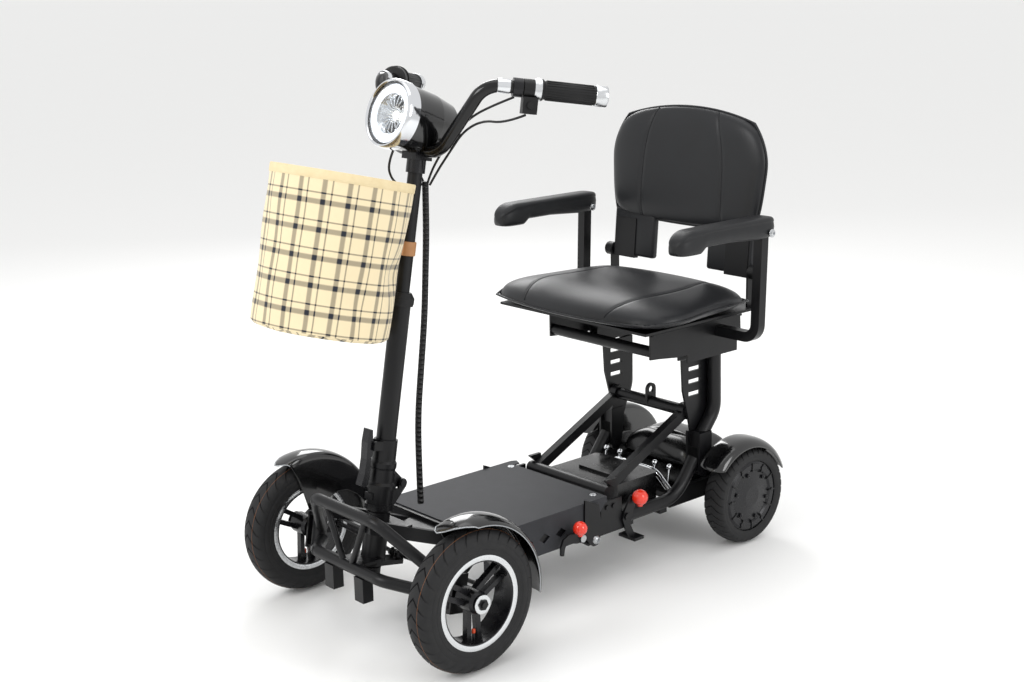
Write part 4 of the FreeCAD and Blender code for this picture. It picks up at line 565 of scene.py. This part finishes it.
for side, word in ((1, "left"), (-1, "right")):
    pad = wrapped_grid(f"armrest_{word}_padded", arm_columns, arm_rows,
                       lambda i, j: arm_rule(i, j) + Vector((side * 0.244, 0, 0)), armrest_foam, 60)
    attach(pad, f"armrest_{word}_body")
    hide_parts(f"armrest_{word}")


# ---------------------------------------------------------------- wiring loom
# The cable bundle in a black spiral wrap that hangs straight from the mast to the deck.
# A round cord turned into a mesh; its shader raises the wrap's turns.
loom_wrap, tree, shader = new_material("spiral_wrap", "131314", 0.45)
place = add_node(tree, "ShaderNodeTexCoord")
parts = add_node(tree, "ShaderNodeSeparateXYZ", [("Vector", place, "Object")])
lines = add_node(tree, "ShaderNodeMath", [(0, parts, "Z")], operation="MULTIPLY")
lines.inputs[1].default_value = 2 * math.pi / 0.009
lean_in = add_node(tree, "ShaderNodeMath", [(0, parts, "X")], operation="MULTIPLY")
lean_in.inputs[1].default_value = 260
total = add_node(tree, "ShaderNodeMath", [(0, lines, "Value"), (1, lean_in, "Value")], operation="ADD")
wave = add_node(tree, "ShaderNodeMath", [(0, total, "Value")], operation="SINE")
bump = add_node(tree, "ShaderNodeBump", [("Height", wave, "Value")], in_Distance=0.0012, in_Strength=1.0)
tree.links.new(bump.outputs["Normal"], shader.inputs["Normal"])
shade = add_node(tree, "ShaderNodeMapRange", [("Value", wave, "Value")], in_From_Min=-1.0, in_From_Max=1.0,
                 in_To_Min=0.7, in_To_Max=0.35)
tree.links.new(shade.outputs["Result"], shader.inputs["Roughness"])

route = [(0.004, -0.2074, 0.800), (0.0055, -0.2094, 0.750), (0.006, -0.2114, 0.700), (0.006, -0.2164, 0.630),
         (0.006, -0.2214, 0.560), (0.004, -0.2314, 0.470), (0.002, -0.2414, 0.380), (0.0005, -0.2424, 0.295),
         (0, -0.2414, 0.211)]


def spline_cord(name, route, radius, material):
    """A round cord on a smooth spline through its control points, and the cord's centreline."""
    curve = bpy.data.curves.new(name, "CURVE")
    curve.dimensions, curve.resolution_u, curve.bevel_resolution = "3D", 16, 4
    spline = curve.splines.new("NURBS")
    spline.points.add(len(route) - 1)
    for target, point in zip(spline.points, route):
        target.co = (*point, 1)
    spline.order_u, spline.use_endpoint_u = 3, True
    cord = bpy.data.objects.new(name, curve)
    bpy.context.scene.collection.objects.link(cord)
    bpy.context.view_layer.update()
    centre = bpy.data.meshes.new_from_object(cord)
    line = [tuple(point.co) for point in centre.vertices]
    bpy.data.meshes.remove(centre)
    curve.bevel_depth, curve.use_fill_caps = radius, True
    curve.materials.append(material)
    return cord, line


loom, loom_line = spline_cord("wiring_loom_wrap", route, 0.006, loom_wrap)
only(loom)
bpy.ops.object.convert(target="MESH")
loom = bpy.context.object
bpy.ops.object.shade_smooth_by_angle(angle=math.radians(60))
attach(loom, "tiller")
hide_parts("wiring_loom")
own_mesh(loom)
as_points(loom_line)


# ---------------------------------------------------------------- tyres
# Black rubber tyres with slanting tread grooves over the crown and a smooth side wall.
# One ring of columns per tyre follows the slant; two columns in each block are sunk to make a groove.
front_wheel_x, front_axle = 0.2506, (-0.33343, 0.1275)
rear_wheel_x, rear_axle = 0.180, (0.45257, 0.100)


def wheel_matrix(x, y, z):
    """A wheel's frame: its Z axis is the axle."""
    return Matrix.Translation((x, y, z)) @ Matrix.Rotation(math.radians(90), 4, "Y")


def tread_ring(name, profile, tread_from, blocks, slant, depth, turn):
    """A tyre from a half profile of (radius, across) points; rows past tread_from carry the tread."""
    rows = [(r, -a) for r, a in profile] + [(r, a) for r, a in reversed(profile[:-1])]
    share = (0.0, 0.09, 0.13, 0.55, 0.96)
    columns = blocks * len(share)
    last = len(rows) - 1

    def rule(i, j):
        radius, across = rows[j]
        inner = min(j, last - j)
        treaded = inner >= tread_from
        block, column = divmod(i % columns, len(share))
        skew = slant * abs(across if treaded else rows[tread_from][1]) / 0.02
        angle = 2 * math.pi * ((block + share[column]) / blocks + skew)
        sunk = depth if treaded and column < 2 and inner > tread_from else 0.0
        return turn @ Vector(((radius - sunk) * math.cos(angle), (radius - sunk) * math.sin(angle), across))

    return wrapped_grid(name, columns, last, rule, tyre_rubber, 30)


front_half = [(0.0832, 0.0226), (0.0850, 0.0238), (0.0880, 0.0244), (0.0930, 0.0254), (0.0940, 0.0250),
              (0.0950, 0.0256), (0.1040, 0.0259), (0.1050, 0.0254), (0.1060, 0.0257), (0.1120, 0.0250),
              (0.1150, 0.0240), (0.1180, 0.0226), (0.1205, 0.0205), (0.1228, 0.0180), (0.1245, 0.0148),
              (0.1258, 0.0112), (0.1268, 0.0072), (0.1273, 0.0035), (0.1275, 0.0004)]
rear_half = [(0.0732, 0.0214), (0.0750, 0.0228), (0.0790, 0.0244), (0.0830, 0.0250), (0.0850, 0.0246),
             (0.0870, 0.0252), (0.0905, 0.0250), (0.0925, 0.0240), (0.0945, 0.0224), (0.0962, 0.0198),
             (0.0976, 0.0165), (0.0987, 0.0125), (0.0995, 0.0080), (0.0999, 0.0038), (0.1000, 0.0004)]
stripe_rubber, tree, shader = new_material("orange_moulding_line", "8a5230", 0.7)
tint(tree, shader, "4a3424", "9c6238", 20)
for side, word in ((1, "left"), (-1, "right")):
    turn = wheel_matrix(side * front_wheel_x, *front_axle)
    tyre = tread_ring(f"front_tyre_{word}_treaded", front_half, 8, 30, 0.030, 0.0024, turn)
    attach(tyre, f"front_wheel_{word}")
    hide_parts(f"front_tyre_{word}")
    line = lathe(f"front_tyre_{word}_line", [(0.1251, 0.0122), (0.1256, 0.0121), (0.1257, 0.0117),
                                             (0.1252, 0.0115), (0.1251, 0.0122)], 96, turn, stripe_rubber)
    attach(line, f"front_wheel_{word}")
    turn = wheel_matrix(side * rear_wheel_x, *rear_axle)
    tyre = tread_ring(f"rear_tyre_{word}_treaded", rear_half, 5, 36, 0.022, 0.0022, turn)
    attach(tyre, f"rear_wheel_{word}")
    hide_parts(f"rear_tyre_{word}")


# ---------------------------------------------------------------- front rims
# Black cast wheels with a machined silver lip on both faces, a bright axle washer and a valve.
# The lips and washers are turned rings over the CAD rim; the valve is a small turned stem with a cap.
machined, tree, shader = new_material("machined_aluminium", "d6d8da", 0.24, 1.0, 1.4)
mottle(tree, shader, 0.18, 0.3, 5)
grain(tree, shader, 10 / 9, 0.02, 1.0, 0.5)

bolt_steel, tree, shader = new_material("bolt_steel", "c9cbcd", 0.2, 1.0, 1.4)
mottle(tree, shader, 0.14, 0.3, 6)

cap_plastic, tree, shader = new_material("orange_valve_cap", "c8431c", 0.4)
tint(tree, shader, "b83a16", "d64e26", 4)


for side, word in ((1, "left"), (-1, "right")):
    turn = wheel_matrix(side * front_wheel_x, *front_axle)
    for face in (1, -1):
        profile = [(0.0745, 0.0215), (0.0748, 0.0236), (0.0770, 0.0243), (0.0815, 0.0246), (0.0838, 0.0242),
                   (0.0842, 0.0230), (0.0836, 0.0218), (0.0745, 0.0215)]
        lip = lathe(f"rim_lip_{word}_{'outer' if face == side else 'inner'}",
                    [(radius, across * face) for radius, across in profile], 96, turn, machined)
        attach(lip, f"front_wheel_{word}")
    washer_profile = [(0.0065, 0.0300), (0.0165, 0.0300), (0.0170, 0.0306), (0.0166, 0.0314),
                      (0.0065, 0.0318), (0.0065, 0.0300)]
    washer = lathe(f"axle_washer_{word}", [(radius, across * side) for radius, across in washer_profile],
                   48, turn, machined)
    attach(washer, f"knuckle_{word}")
    inward = turn @ Matrix.Translation((0.073, 0.0, 0.004 * side))
    inward = inward @ Matrix.Rotation(math.radians(-90), 4, "Y")
    for tag, material, profile in (
            ("stem", black_alloy, [(0.0, 0.0), (0.0026, 0.0), (0.0026, 0.012), (0.0022, 0.013),
                                   (0.0022, 0.016), (0.0, 0.0162)]),
            ("cap", cap_plastic, [(0.0, 0.0135), (0.0032, 0.0135), (0.0034, 0.0145), (0.0034, 0.0195),
                                  (0.0028, 0.0207), (0.0, 0.0208)])):
        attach(lathe(f"valve_{tag}_{word}", profile, 20, inward, material), f"front_wheel_{word}")


# ---------------------------------------------------------------- hub motor covers
# The rear wheels' closed covers: a ring of ribs and six screws, all in black.
# Each rib and screw is placed by turning it round the axle, and each set is joined.
def ring_of(name, count, make, turn, material, body):
    """Copies of one small piece spaced evenly round an axle, joined into one mesh."""
    pieces = [make(turn @ Matrix.Rotation(2 * math.pi * k / count, 4, "Z")) for k in range(count)]
    only(pieces[0])
    for piece in pieces:
        piece.select_set(True)
    bpy.ops.object.join()
    thing = bpy.context.object
    thing.name = thing.data.name = name
    thing.data.materials.clear()
    thing.data.materials.append(material)
    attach(thing, body)
    return thing


for side, word in ((1, "left"), (-1, "right")):
    turn = wheel_matrix(side * rear_wheel_x, *rear_axle)
    face = 0.0245 * side
    ring_of(f"motor_ribs_{word}", 12,
            lambda place: slab("rib", (0.052, -0.0013, face - (0.006 if side > 0 else 0.0003)),
                               (0.070, 0.0013, face + (0.0003 if side > 0 else 0.006)), 0.0005,
                               place, matt_plastic, 2),
            turn, matt_plastic, f"rear_wheel_{word}")
    screw = [(0.0, -0.004), (0.0042, -0.004), (0.0042, 0.0), (0.0034, 0.0005), (0.0018, 0.0005),
             (0.0016, -0.0005), (0.0, -0.0005)]
    screw = [(radius, face + high * side) for radius, high in screw]
    ring_of(f"motor_screws_{word}", 6,
            lambda place: lathe("screw", screw, 16, place @ Matrix.Rotation(math.radians(15), 4, "Z")
                                @ Matrix.Translation((0.0475, 0, 0)), black_alloy),
            turn, black_alloy, f"rear_wheel_{word}")


# ---------------------------------------------------------------- fenders
# Glossy black pressed guards: a domed crown with a rolled outer lip and an inner wall that bolts on.
# A section is swept round the axle; its rows narrow to a point at the front, then the sheet is thickened.
# A light grey metal for the bead on each front fender's lip: a painted highlight along the rolled edge of the
# glossy paint.
painted_highlight_metal, tree, shader = new_material("painted_highlight_edge", "a4a7aa", 0.32, 0.9, 1.4)
mottle(tree, shader, 0.25, 0.45, 5)


def round_axle(axle, x, radius, degrees):
    """The point at a radius round an axle, in degrees up from the rear."""
    angle = math.radians(degrees)
    return Vector((x, axle[0] + radius * math.cos(angle), axle[1] + radius * math.sin(angle)))


def swept_guard(name, axle, side, section, thick, columns, material):
    """A guard from (x, radius, first angle, last angle) rows."""
    def rule(i, j):
        x, radius, first, last = section[j]
        return round_axle(axle, side * x, radius, first + (last - first) * i / columns)
    guard = wrapped_grid(name, columns, len(section) - 1, rule, material, 50)
    only(guard)
    sheet = guard.modifiers.new("sheet", "SOLIDIFY")
    sheet.thickness, sheet.offset = thick, 0
    finer = guard.modifiers.new("finer", "SUBSURF")
    finer.levels = finer.render_levels = 1
    for modifier in ("sheet", "finer"):
        bpy.ops.object.modifier_apply(modifier=modifier)
    return guard


front_section = [(0.2207, 0.036, 62, 100), (0.2207, 0.070, 52, 103), (0.2207, 0.105, 38, 105),
                 (0.2207, 0.128, 10, 107), (0.2212, 0.1400, -6, 108), (0.2232, 0.1440, -9, 109),
                 (0.2275, 0.1462, -10, 111), (0.2350, 0.1476, -10, 114), (0.2440, 0.1480, -10, 115),
                 (0.2530, 0.1474, -10, 112), (0.2620, 0.1456, -10, 106), (0.2700, 0.1424, -10, 99),
                 (0.2748, 0.1385, -9, 93), (0.2762, 0.1350, -8, 90)]
rear_section = [(0.1495, 0.060, 62, 98), (0.1495, 0.090, 46, 110), (0.1495, 0.112, 26, 128),
                (0.1505, 0.1195, 20, 136), (0.1540, 0.1226, 18, 139), (0.1620, 0.1236, 18, 141),
                (0.1740, 0.1238, 18, 142), (0.1860, 0.1232, 18, 142), (0.1960, 0.1210, 18, 141),
                (0.2030, 0.1168, 19, 140), (0.2070, 0.1110, 21, 138), (0.2080, 0.1060, 24, 135)]
for side, word in ((1, "left"), (-1, "right")):
    guard = swept_guard(f"front_fender_{word}_shell", front_axle, side, front_section, 0.0024, 44, lacquer)
    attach(guard, f"knuckle_{word}")
    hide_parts(f"front_fender_{word}")
    lip = [round_axle(front_axle, side * x, radius, last) for x, radius, first, last in front_section[4:]]
    x, radius, first, last = front_section[-1]
    lip += [round_axle(front_axle, side * x, radius, last + (first - last) * k / 30) for k in range(1, 31)]
    # The lip bead is light metal that stands for the highlight on the rolled edge: a painted highlight.
    edge = bead(f"front_fender_{word}_edge", lip, 0.0011, painted_highlight_metal)
    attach(edge, f"knuckle_{word}")
    rear_guard = swept_guard(f"rear_fender_{word}_shell", (0.44057, 0.099), side, rear_section, 0.0026, 44,
                             lacquer)
    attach(rear_guard, "rear_module")
    outward = Matrix.Rotation(math.pi, 4, "X") if side < 0 else Matrix()
    boss = lathe(f"rear_fender_{word}_boss", [(0.0, -0.0155), (0.0058, -0.0155), (0.0060, -0.0145),
                                              (0.0060, 0.0140), (0.0085, 0.0150), (0.0, 0.0152)], 28,
                 wheel_matrix(side * 0.134, 0.46757, 0.121) @ outward, lacquer)
    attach(boss, "rear_module")
    if side > 0:
        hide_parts("rear_fenders")


# ---------------------------------------------------------------- headlamp
# A glossy black bucket with a deep chrome bezel; behind the clear lens sit a bright ring, a fluted
# reflector and a small lamp. Every piece is turned about the lamp's axis.
lamp_axis = Matrix.Translation((0, -0.27861, 0.9253)) @ Matrix.Rotation(math.radians(71.57), 4, "X")

bucket_lacquer, tree, shader = new_material("bucket_gloss_black", "0b0b0c", 0.12)
shader.inputs["Coat Weight"].default_value = 0.5
mottle(tree, shader, 0.09, 0.16, 30)
coat(bucket_lacquer, "headlamp_bucket")

halo_plastic, tree, shader = new_material("lit_ring", "f4f6f8", 0.4)
shader.inputs["Emission Color"].default_value = linear("f4f8ff")
shader.inputs["Emission Strength"].default_value = 1.1
tint(tree, shader, "eef1f4", "ffffff", 5)

mirror, tree, shader = new_material("reflector_mirror", "e6e8ea", 0.16, 1.0, 1.4)
mottle(tree, shader, 0.1, 0.22, 6)

bezel = lathe("headlamp_bezel_ring", [(0.0580, -0.0235), (0.0604, -0.0220), (0.0608, -0.0120),
                                      (0.0607, -0.0040), (0.0600, 0.0010), (0.0585, 0.0035),
                                      (0.0562, 0.0040), (0.0545, 0.0025), (0.0538, -0.0010),
                                      (0.0540, -0.0080), (0.0580, -0.0085), (0.0580, -0.0235)],
              96, lamp_axis, chrome)
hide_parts("headlamp_bezel")
bowl = lathe("headlamp_bowl", [(0.0536, -0.0052), (0.0500, -0.0085), (0.0455, -0.0090), (0.0450, -0.0085),
                               (0.0340, -0.0085), (0.0335, -0.0090), (0.0320, -0.0120), (0.0270, -0.0190),
                               (0.0200, -0.0260), (0.0120, -0.0305), (0.0, -0.0320)], 96, lamp_axis, mirror)
halo = lathe("headlamp_halo", [(0.0350, -0.0086), (0.0352, -0.0070), (0.0370, -0.0060), (0.0470, -0.0060),
                               (0.0488, -0.0070), (0.0490, -0.0086)], 96, lamp_axis, halo_plastic)
flutes = ring_of("headlamp_flutes", 18,
                 lambda place: slab("flute", (0.0125, -0.0012, -0.0290), (0.0300, 0.0012, -0.0115), 0.0008,
                                    place @ Matrix.Translation((0, 0, -0.002)), mirror, 1),
                 lamp_axis, mirror, "mast")
bulb_glass, tree, shader = new_material("lamp_bulb", "fffdf4", 0.2)
shader.inputs["Emission Color"].default_value = linear("fffaf0")
shader.inputs["Emission Strength"].default_value = 1.4
tint(tree, shader, "fff8ea", "ffffff", 4)
bulb = lathe("headlamp_bulb", [(0.0, -0.0140), (0.0040, -0.0150), (0.0065, -0.0180), (0.0070, -0.0220),
                               (0.0075, -0.0300), (0.0, -0.0302)], 40, lamp_axis, bulb_glass)
for piece in (bezel, bowl, halo, bulb):
    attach(piece, "mast")


# ---------------------------------------------------------------- handlebar fittings
# Silver end caps and ferrules on the black grips, and a bright sleeve on the bar after each bend.
# They are turned about each end of the bar.
def bar_end(side):
    """The end of the bar, with Z pointing outward along it."""
    end = steer @ Vector((side * 0.257, 0.181, 0.8235))
    inner = steer @ Vector((side * 0.148, 0.010, 0.820))
    return Matrix.Translation(end) @ (end - inner).to_track_quat("Z", "Y").to_matrix().to_4x4()


for side, word in ((1, "left"), (-1, "right")):
    place = bar_end(side)
    mover = "mast" if side > 0 else "throttle"
    cap = lathe(f"grip_cap_{word}", [(0.0170, -0.0150), (0.0178, -0.0140), (0.0178, 0.0030), (0.0168, 0.0055),
                                     (0.0140, 0.0066), (0.0, 0.0070)], 48, place, machined)
    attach(cap, mover)
    collar = lathe(f"grip_collar_{word}", [(0.0135, -0.1300), (0.0150, -0.1290), (0.0160, -0.1200),
                                           (0.0188, -0.1160), (0.0190, -0.1085), (0.0178, -0.1075),
                                           (0.0165, -0.1075)],
                   48, place, machined)
    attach(collar, "mast")
    sleeve = lathe(f"bar_sleeve_{word}", [(0.0112, -0.1830), (0.0122, -0.1824), (0.0126, -0.1800),
                                          (0.0126, -0.1640), (0.0122, -0.1612), (0.0112, -0.1606)],
                   40, place, chrome)
    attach(sleeve, "mast")
    ring_of(f"grip_ribs_{word}", 20,
            lambda turn: slab("rib", (0.0150, -0.0008, -0.1000), (0.0170, 0.0008, -0.0180), 0.0006,
                              turn, grip_rubber, 1),
            place, grip_rubber, mover)

glossy_alloy, tree, shader = new_material("lacquered_bar", "0d0d0e", 0.18, 0.2)
mottle(tree, shader, 0.13, 0.24, 30)
coat(glossy_alloy, "handlebar", "brake_lever")


# ---------------------------------------------------------------- control cables
# Thin black cables that run from the pods and the lamp to the top of the wiring loom.
# Each is a round tube along a smooth spline, listed with the length of that line in metres.
cable_sheath, tree, shader = new_material("cable_sheath", "111112", 0.4)
mottle(tree, shader, 0.34, 0.48, 8)

for name, length, route in (
        ("brake_cable", 0.2436, [
            (0.168, -0.140, 0.950), (0.140, -0.170, 0.935), (0.108, -0.190, 0.915), (0.074, -0.204, 0.880),
            (0.046, -0.210, 0.845), (0.020, -0.208, 0.815), (0.008, -0.206, 0.796)]),
        ("switch_cable", 0.248, [
            (0.190, -0.134, 0.921), (0.165, -0.160, 0.908), (0.130, -0.178, 0.912), (0.095, -0.192, 0.893),
            (0.064, -0.198, 0.856), (0.030, -0.200, 0.820), (0.010, -0.202, 0.794)]),
        ("throttle_cable", 0.262, [
            (-0.190, -0.122, 0.940), (-0.150, -0.160, 0.926), (-0.105, -0.188, 0.904),
            (-0.066, -0.200, 0.862), (-0.030, -0.200, 0.824), (-0.004, -0.204, 0.796)]),
        ("lamp_cable", 0.1223, [
            (-0.010, -0.262, 0.862), (-0.018, -0.272, 0.835), (-0.020, -0.262, 0.806),
            (-0.019, -0.240, 0.792), (-0.010, -0.214, 0.790), (0.000, -0.208, 0.796)])):
    cable, _ = spline_cord(name, route, 0.0021, cable_sheath)
    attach(cable, "mast")


# ---------------------------------------------------------------- knobs and bolts
# Two glossy red release knobs with short necks, and a bright bolt that the armrests and back both use.
# Turned pieces over the CAD's own knobs and joints.
red_plastic, tree, shader = new_material("glossy_red_knob", "e0301c", 0.16)
shader.inputs["Coat Weight"].default_value = 0.5
tint(tree, shader, "d92a18", "ea3c26", 8)

for name, centre, radius, body in (("frame_knob", (0.172, -0.0024, 0.144), 0.0136, "frame_hook"),
                                   ("seat_knob", (0.161, 0.1686, 0.159), 0.0156, "seat_pedal")):
    ball = [(radius * math.sin(a), -radius * math.cos(a)) for a in [math.pi * k / 24 for k in range(3, 25)]]
    neck = [(0.0, -radius * 1.12), (radius * 0.34, -radius * 1.12), (radius * 0.36, -radius * 0.98)]
    knob = lathe(name, neck + ball, 40, Matrix.Translation(centre), red_plastic, 35)
    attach(knob, body)


def bolt(name, place, direction, radius, body):
    """A domed bolt head with a washer, standing on a point."""
    high = 0.004
    turn = Matrix.Translation(place) @ Vector(direction).to_track_quat("Z", "Y").to_matrix().to_4x4()
    head = lathe(name, [(0.0, -0.0005), (radius * 1.35, -0.0005), (radius * 1.38, 0.0),
                        (radius * 1.34, 0.0007), (radius, 0.0009), (radius * 0.97, high * 0.55),
                        (radius * 0.78, high * 0.9), (radius * 0.46, high), (radius * 0.42, high * 0.45),
                        (0.0, high * 0.42)],
                 28, turn, bolt_steel, 30)
    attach(head, body)


for side, word in ((1, "left"), (-1, "right")):
    bolt(f"armrest_bolt_{word}_outer", (side * 0.2702, 0.4186, 0.656), (side, 0, 0), 0.0060, "seat_tower")
    bolt(f"armrest_bolt_{word}_inner", (side * 0.2196, 0.4186, 0.656), (-side, 0, 0), 0.0060,
         f"armrest_{word}_body")


# ---------------------------------------------------------------- backrest wings
# Two vinyl-covered flaps that carry the back down to its hinge, hiding the steel plate inside.
# Rounded slabs that lean with the back, with a hinge boss and a bolt at each end of the hinge.
for side, word in ((1, "left"), (-1, "right")):
    flap = slab(f"backrest_flap_{word}", (0.074, -0.0040, -0.008), (0.190, 0.0125, 0.092), 0.006,
                lean @ Matrix.Scale(side, 4, (1, 0, 0)), vinyl, 4)
    close_up(flap, 40)
    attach(flap, "backrest")
    hinge = lathe(f"backrest_hinge_boss_{word}", [(0.0, -0.010), (0.0125, -0.010), (0.0140, -0.0085),
                                                  (0.0140, 0.0085), (0.0125, 0.010), (0.0, 0.010)], 40,
                  wheel_matrix(side * 0.198, 0.4546, 0.5640), matt_plastic)
    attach(hinge, "backrest")
    bolt(f"backrest_bolt_{word}", (side * 0.2078, 0.4546, 0.5640), (side, 0, 0), 0.0062, "backrest")


# ---------------------------------------------------------------- drive and battery covers
# The drive's rounded glossy cover and the battery case, both in lacquered black plastic.
# The cover is a domed pillow over the housing; the case keeps its CAD shape.
case_gloss, tree, shader = new_material("glossy_case_plastic", "0a0a0b", 0.2)
mottle(tree, shader, 0.14, 0.28, 35)
coat(case_gloss, "drive_housing", "battery_case")


def cover_point(u, v, rise):
    """A point of the cover, raised above its flat edge."""
    x, y = soft_square(u, v, 0.34)
    return Vector((x * 0.104, 0.4476 + y * 0.0745, 0.1540 + rise))


def cover_top(u, v):
    """The domed top, with a step across its front."""
    step = 0.008 * math.exp(-((v + 0.35) / 0.07) ** 2)
    return cover_point(u, v, (0.0500 - step * (1 - abs(u))) * dome(u, v, 2.8))


def cover_under(u, v):
    """The shallow underside."""
    return cover_point(u, v, -0.0035 * dome(u, v, 12))


cover = pillow("drive_cover_shell", cover_top, cover_under, 56, 40, case_gloss)
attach(cover, "rear_module")
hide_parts("drive_cover")


# ---------------------------------------------------------------- deck shade sheets
# Dark sheets behind the deck's diamond openings, in the same paint as the frame: painted shade that keeps the
# openings dark.
# Two thin slabs with rounded edges just inside the flanges.
for side, word in ((1, "left"), (-1, "right")):
    # Each slab is painted shade: a dark sheet where the inside of the deck lies in shade.
    shade_sheet = slab(f"deck_shade_sheet_{word}", (0.1393, -0.2050, 0.1060), (0.1412, 0.0600, 0.1720), 0.0005,
                 Matrix.Scale(side, 4, (1, 0, 0)), powder_coat, 2)
    close_up(shade_sheet, 40)
    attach(shade_sheet, "chassis")


# ---------------------------------------------------------------- floor, light and camera
# A plain pale floor under soft studio light: a large key from the front left, a fill and a top light.
bpy.ops.mesh.primitive_plane_add(size=400, location=(0, 0, -0.0005))
floor = bpy.context.object
floor.name = "floor"
floor_paint, tree, shader = new_material("pale_floor", "f4f4f3", 0.75)
mottle(tree, shader, 0.7, 0.8, 400)
floor.data.materials.append(floor_paint)

world = bpy.data.worlds.new("studio")
bpy.context.scene.world = world
world.use_nodes = True
world.node_tree.nodes["Background"].inputs["Color"].default_value = (1, 1, 1, 1)
world.node_tree.nodes["Background"].inputs["Strength"].default_value = 0.92
bpy.context.scene.view_settings.view_transform = "Standard"


def softbox(name, place, target, width, height, watts):
    """A rectangular area light aimed at a point."""
    data = bpy.data.lights.new(name, "AREA")
    data.shape = "RECTANGLE"
    data.size, data.size_y, data.energy = width, height, watts
    lamp = bpy.data.objects.new(name, data)
    bpy.context.scene.collection.objects.link(lamp)
    lamp.location = place
    lamp.rotation_euler = (Vector(target) - Vector(place)).to_track_quat("-Z", "Y").to_euler()


softbox("key_softbox", (-0.4, -2.7, 2.2), (0, 0, 0.5), 1.4, 1.2, 34)
softbox("fill_softbox", (3.0, 0.6, 1.7), (0, 0.1, 0.5), 1.0, 1.8, 26)
softbox("top_softbox", (0, 0.2, 3.2), (0, 0.1, 0), 2.2, 2.2, 16)
softbox("rear_softbox", (-2.4, 1.6, 2.2), (0, 0, 0.6), 1.0, 1.6, 28)

azimuth, rise, roll = math.radians(48.968), math.radians(14.028), math.radians(-1.283)
back = Vector((math.sin(azimuth) * math.cos(rise), -math.cos(azimuth) * math.cos(rise), math.sin(rise)))
right = Vector((math.cos(azimuth), math.sin(azimuth), 0))
up = back.cross(right)
right, up = (math.cos(roll) * right + math.sin(roll) * up, math.cos(roll) * up - math.sin(roll) * right)
camera_data = bpy.data.cameras.new("camera")
camera_data.sensor_width, camera_data.lens = 36, 53.95
camera = bpy.data.objects.new("camera", camera_data)
bpy.context.scene.collection.objects.link(camera)
turned = Matrix((right, up, back)).transposed().to_4x4()
camera.matrix_world = Matrix.Translation((2.1195, -1.85523, 1.1773)) @ turned
bpy.context.scene.camera = camera
